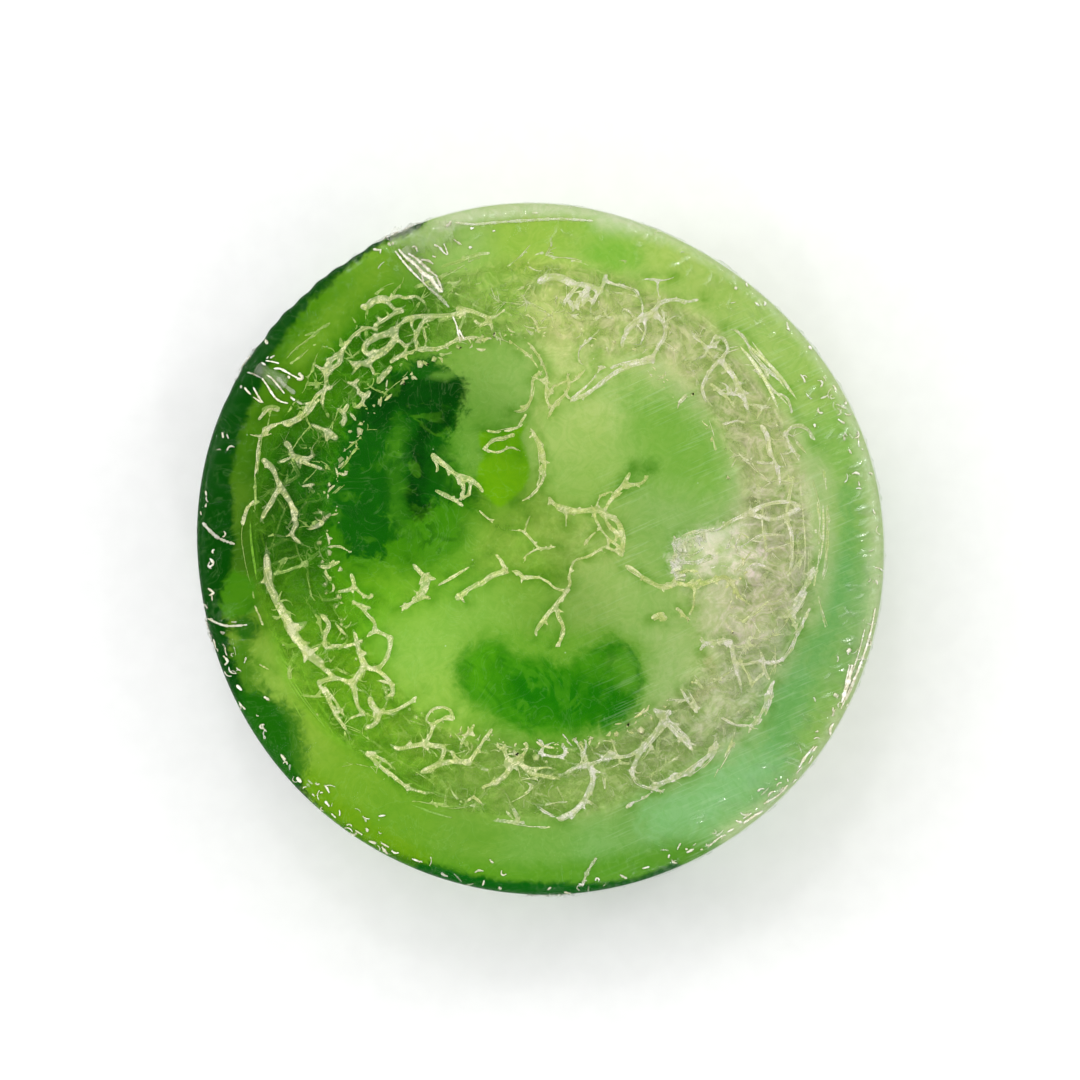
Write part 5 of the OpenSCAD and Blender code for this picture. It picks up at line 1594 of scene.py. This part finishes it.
def ridges(seed):
    """Small folds where the film shrank: place (angle in degrees, distance out along the film), turn, length,
    width and height. The rim's are short and curly; those by the seam stand upright."""
    random = np.random.default_rng(seed)
    out = []
    for _ in range(420):
        angle = random.uniform(0, 360)
        out.append((angle, random.uniform(34.6, 39.8), random.normal(0, 45), random.uniform(0.8, 3.0),
                    random.uniform(0.14, 0.34), random.uniform(0.05, 0.24)))
    for angle in np.arange(-50, 22, 2.6):
        out.append((angle + random.normal(0, 0.5), random.uniform(36, 37.6), random.normal(20, 16),
                    random.uniform(2, 3.6), 0.3, random.uniform(0.16, 0.3)))
    for angle in np.arange(0, 360, 1.7):
        out.append((angle + random.normal(0, 0.6), 51.4 - random.uniform(0, 1.5), random.normal(0, 7),
                    abs(random.normal(0, 4.5)) + 1.5, random.uniform(0.16, 0.36), random.uniform(0.06, 0.26)))
    for _ in range(150):
        out.append((random.uniform(0, 360), random.uniform(40, 50), random.normal(0, 38),
                    random.uniform(1.5, 6), random.uniform(0.15, 0.4), random.uniform(0.04, 0.16)))
    for corner in CORNERS:
        for _ in range(16):
            out.append((corner + random.normal(0, 2.6), random.uniform(38, 49), random.normal(0, 12),
                        random.uniform(5, 12), random.uniform(0.2, 0.34), random.uniform(0.15, 0.42)))
    return out


def ridge_field(angles, out_along, folds, seed):
    """How far the folds lift the film, for each angle (degrees) and distance out along it."""
    lift = np.zeros((len(angles), len(out_along)))
    random = np.random.default_rng(seed + 50)
    for angle, s, turn, length, width, height in folds:
        away = (angles - angle + 180) % 360 - 180
        near = np.abs(away) < 1.5 * (length + 4 * width) + 1
        x = (away[near] * math.pi / 180 * SOAP_R)[:, None]
        y = (out_along - s)[None, :]
        c, t = math.cos(math.radians(turn)), math.sin(math.radians(turn))
        along, across = y * c + x * t, x * c - y * t
        across = across + random.normal(0, 0.25) * np.cos(along * 1.6 / max(length, 1) * 2)
        across = across + 0.12 * np.sin(along * 3.1 + angle)
        shape = height * np.exp(-(across / width) ** 2) * np.exp(-(along / (length / 2)) ** 4)
        lift[near] = np.maximum(lift[near], shape)
    return lift


def film_sheet(name, top, seed, material, slot, node):
    """One film sheet, from the middle of a face to the seam half-way down the side."""
    rim = rim_radius(np.radians(FILM_ANGLES))
    flat_r = SOAP_R - EDGE_R
    flat = np.r_[np.arange(0.05, 0.8, 0.1), np.linspace(0.82, 1.0, 22)]
    bend = np.linspace(0, 1, 9)[1:]
    side_end = (SOAP_TOP - SEAM_TOP if top else SEAM_LOW - SOAP_LOW) - EDGE_R
    side = np.linspace(0, side_end, 34)[1:]
    out_along = np.r_[flat * flat_r, flat_r + bend * ROUND, flat_r + ROUND + side]
    lift = ridge_field(FILM_ANGLES, out_along, ridges(seed), seed)
    if not top:
        lift *= smoothstep(flat_r, flat_r + ROUND, out_along)[None, :]
    a = np.radians(FILM_ANGLES)[:, None]
    turn = np.r_[0 * flat, bend * math.pi / 2, np.full(len(side), math.pi / 2)][None, :]
    in_from_rim = np.r_[0 * flat, EDGE_R * (1 - np.sin(bend * math.pi / 2)), 0 * side][None, :]
    r = np.where(np.arange(len(out_along)) < len(flat),
                 (rim[:, None] - EDGE_R) * np.r_[flat, np.ones(len(bend) + len(side))][None, :],
                 rim[:, None] - in_from_rim)
    drop = np.r_[0 * flat, EDGE_R * (1 - np.cos(bend * math.pi / 2)), EDGE_R + side][None, :] + 0 * r
    skin = SKIN if top else SKIN * 0.6
    spots = around(r, a, drop).reshape(-1, 3)
    slack = 0.05 * (noise(spots, 5, seed, 3).reshape(r.shape) + 0.6) * smoothstep(30, 40, out_along)[None, :]
    off = skin + lift + slack
    r = r + off * np.sin(turn)
    depth = drop - off * np.cos(turn)
    z = SOAP_TOP - depth if top else np.maximum(SOAP_LOW + depth, 0.02)
    points = np.r_[around(r, a, z).reshape(-1, 3), [[0, 0, z[0, 0]]]]
    n, m = r.shape
    faces = []
    for i in range(n):
        j = (i + 1) % n
        faces.append((n * m, i * m, j * m))
        faces += [(i * m + k, i * m + k + 1, j * m + k + 1, j * m + k) for k in range(m - 1)]
    if not top:
        faces = [f[::-1] for f in faces]
    obj = new_object(name, points, faces, material)
    cloudy = 0.05 + 0.95 * smoothstep(-0.5, 0.3, np.cos(a - math.radians(25)))
    cloudy = 1 - (1 - cloudy) * smoothstep(SOAP_R + 5, SOAP_R + 2, out_along)[None, :]
    store(obj.data, "Crease", np.r_[(np.minimum(lift / 0.25, 1) * cloudy).ravel(), 0])
    store(obj.data, "Gloss", np.r_[cloudy.ravel(), 0])
    place(obj, slot, node)


def pleat(bright, width, points, random):
    """A fold of film on the cut face or its rim, as a low tube."""
    line = curve(points, 0.16)
    share = np.linspace(0, 1, len(line))
    half = width / 2 * (0.35 + 0.65 * np.sin(np.pi * np.clip(share * 0.9 + 0.05, 0, 1)) ** 0.6)
    half = half * (1 + 0.25 * random.normal(0, 1, len(line)))
    path = np.c_[line, film_height(line) + 0.04]
    points, faces = tube(path, np.maximum(half * 1.25, 0.03), 6)
    return points, faces, np.full(len(points), bright)


def side_pleat(angle, z_from, z_to, lean, width, bright, random):
    """A fold of film that runs down the side wall."""
    z = np.linspace(z_from, z_to, 26)
    share = np.linspace(0, 1, 26)
    a = np.radians(angle + lean * share + 0.5 * np.sin(share * random.uniform(3, 9) + random.uniform(0, 6)))
    r = rim_radius(a) + SKIN + 0.06
    inset = np.clip(z - (SOAP_TOP - EDGE_R), 0, EDGE_R)
    r = r - (EDGE_R - np.sqrt(EDGE_R ** 2 - inset ** 2))
    path = around(r, a, z)
    half = width / 2 * np.sin(np.pi * (share * 0.9 + 0.05)) ** 0.5 * (1 + 0.2 * random.normal(0, 1, 26))
    points, faces = tube(path, np.maximum(half, 0.03), 6)
    return points, faces, np.full(len(points), bright)


def add_pleats(name, folds, material, slot, *nodes):
    """Joins folds into one piece and stores how bright each one's painted highlight is."""
    points, faces = joined([(p, f) for p, f, _ in folds])
    obj = new_object(name, points, faces, material)
    store(obj.data, "Glint", np.concatenate([g for _, _, g in folds]))
    place(obj, slot, *nodes)


def build_seam(material):
    """The welded strip: a narrow flange with a wavy outer edge."""
    angles = np.radians(FILM_ANGLES)
    base = rim_radius(angles) + SKIN
    spots = around(39, angles, 0)
    reach = 0.42 + 0.12 * noise(spots, 2.5, 61)
    tilt = 0.16 * noise(spots, 4, 62)
    middle, half = (SEAM_LOW + SEAM_TOP) / 2, (SEAM_TOP - SEAM_LOW) / 2
    section = [(0, 1), (0.55, 0.62), (0.92, 0.42), (1, 0), (0.92, -0.42), (0.55, -0.62), (0, -1)]
    rows = []
    for out, up in section:
        r = base + reach * out
        z = middle + half * up + tilt * out
        rows.append(around(r, angles, z))
    points = np.stack(rows, 1).reshape(-1, 3)
    n, m = len(angles), len(section)
    faces = [(i * m + k, i * m + (k + 1) % m, (i + 1) % n * m + (k + 1) % m, (i + 1) % n * m + k)
             for i in range(n) for k in range(m)]
    obj = new_object("heat_seal_strip_weld", points, faces, material)
    # the weld takes the folds' cream colour: partly its own whiteness, partly painted highlight
    store(obj.data, "Glint", 0.5 + 0.2 * noise(points, 3, 63))
    place(obj, "sealed_film", "heat_seal_strip")


def build_film():
    """The two sheets, their seam, the gathered corners and the puckers on the rim."""
    film = film_material("shrink_film", 0.003)
    pleats = pleat_material("sealed_film", (236, 240, 196))
    film_sheet("film_top_sheet_shrunk", True, 71, film, "shrink_film", "film_top_sheet")
    film_sheet("film_bottom_sheet_shrunk", False, 72, film, "shrink_film", "film_bottom_sheet")
    build_seam(pleats)
    random = np.random.default_rng(73)
    folds = [pleat(bright, width, points, random) for bright, width, *points in PLEATS]
    for corner in CORNERS:
        # how strongly the painted highlight shows on the folds down the side at this corner
        strong = 0.5 if corner in CORNERS[:2] else 0.35
        for _ in range(11):
            folds.append(side_pleat(corner + random.normal(0, 2.0), SOAP_TOP - random.uniform(0.1, 3),
                                    random.uniform(SEAM_TOP, SEAM_TOP + 5), random.normal(0, 1.6),
                                    random.uniform(0.14, 0.34), strong * random.uniform(0.4, 1.6), random))
    add_pleats("film_corner_gathers_pleats", folds, pleats, "sealed_film", "film_corner_gathers")
    folds = [pleat(bright, width, points, random) for bright, width, *points in PUCKERS]
    # small puckers over the rim, each with a painted highlight of its own strength
    for _ in range(170):
        angle = random.uniform(190, 395) if random.random() < 0.7 else random.uniform(0, 360)
        r = rim_radius(np.radians(angle)) - abs(random.normal(0.9, 1.1)) - 0.1
        way = math.radians(angle + 90 + random.normal(0, 40))
        length, bend = random.uniform(0.25, 1.3), random.normal(0, 0.9)
        t = np.linspace(-0.5, 0.5, 4)
        start = polar(r, angle)
        line = [start + length * np.array([math.cos(way + bend * k), math.sin(way + bend * k)]) * k
                for k in t]
        line = [q * min(1, (rim_radius(np.arctan2(q[1], q[0])) - 0.08) / np.hypot(*q)) for q in line]
        folds.append(pleat(random.uniform(0.15, 0.9), random.uniform(0.08, 0.22), line, random))
    add_pleats("film_rim_puckers", folds, pleats, "shrink_film")


build_film()


# ------------------------------------------------------------------ stage, lights and camera

VIEW_WIDTH = 78 / 0.64    # how much of the scene the picture spans at the height of the cut face
CAMERA_HEIGHT = 520
CAMERA_AT = (0.05, 1.07)  # the point on the cut face that the camera is straight above
SENSOR = 36
FLOOR_SIDES = 48


def build_stage():
    """A pale floor, a world that is brightest half-way up, soft lamps and a camera straight above."""
    scene = bpy.context.scene
    scene.view_settings.view_transform = "Standard"
    world = bpy.data.worlds.new("studio")
    scene.world = world
    world.use_nodes = True
    p = Paint(world.node_tree)
    height = p.axis(p.node("TexCoord").outputs["Generated"], "Z")
    walls = p.ramp(height, 0.02, 0.4, 0.3, 1.27)
    p.wire(world.node_tree.nodes["Background"], Color=(1.0, 1.0, 1.0, 1.0),
           Strength=p.times(walls, p.ramp(height, 0.8, 0.94, 1.0, 0.12)))

    n = FLOOR_SIDES
    turns = [i * math.pi / (n / 2) for i in range(n)]
    points = [(r * math.cos(a), r * math.sin(a), 0) for r in (0, 60, 120, 250, 600, 1500) for a in turns]
    faces = [(n * k + i, n * k + n + i, n * k + n + (i + 1) % n, n * k + (i + 1) % n)
             for k in range(1, 5) for i in range(n)] + [tuple(range(n, 2 * n))]
    new_object("floor", points, faces, floor_material())

    # name, place, size, power in watts
    lamps = [("soft_top", (-160, 220, 520), 420, 0.7), ("window_left", (-420, 60, 300), 130, 0.35),
             ("window_right", (380, 260, 420), 110, 0.35), ("spot_near", (90, -330, 520), 60, 0.24),
             ("spot_far", (-60, 300, 640), 50, 0.24)]
    for name, spot, size, power in lamps:
        data = bpy.data.lights.new(name, "AREA")
        data.shape = "DISK"
        data.size = size * MM
        data.energy = power
        lamp = bpy.data.objects.new(name, data)
        lamp.location = Vector(spot) * MM
        lamp.rotation_euler = (-Vector(spot)).to_track_quat("-Z", "Y").to_euler()
        scene.collection.objects.link(lamp)

    data = bpy.data.cameras.new("camera")
    data.sensor_width = SENSOR
    data.lens = SENSOR * CAMERA_HEIGHT / VIEW_WIDTH
    data.clip_start = 0.01
    camera = bpy.data.objects.new("camera", data)
    camera.location = Vector((*CAMERA_AT, FILM_TOP + CAMERA_HEIGHT)) * MM
    scene.collection.objects.link(camera)
    scene.camera = camera


build_stage()
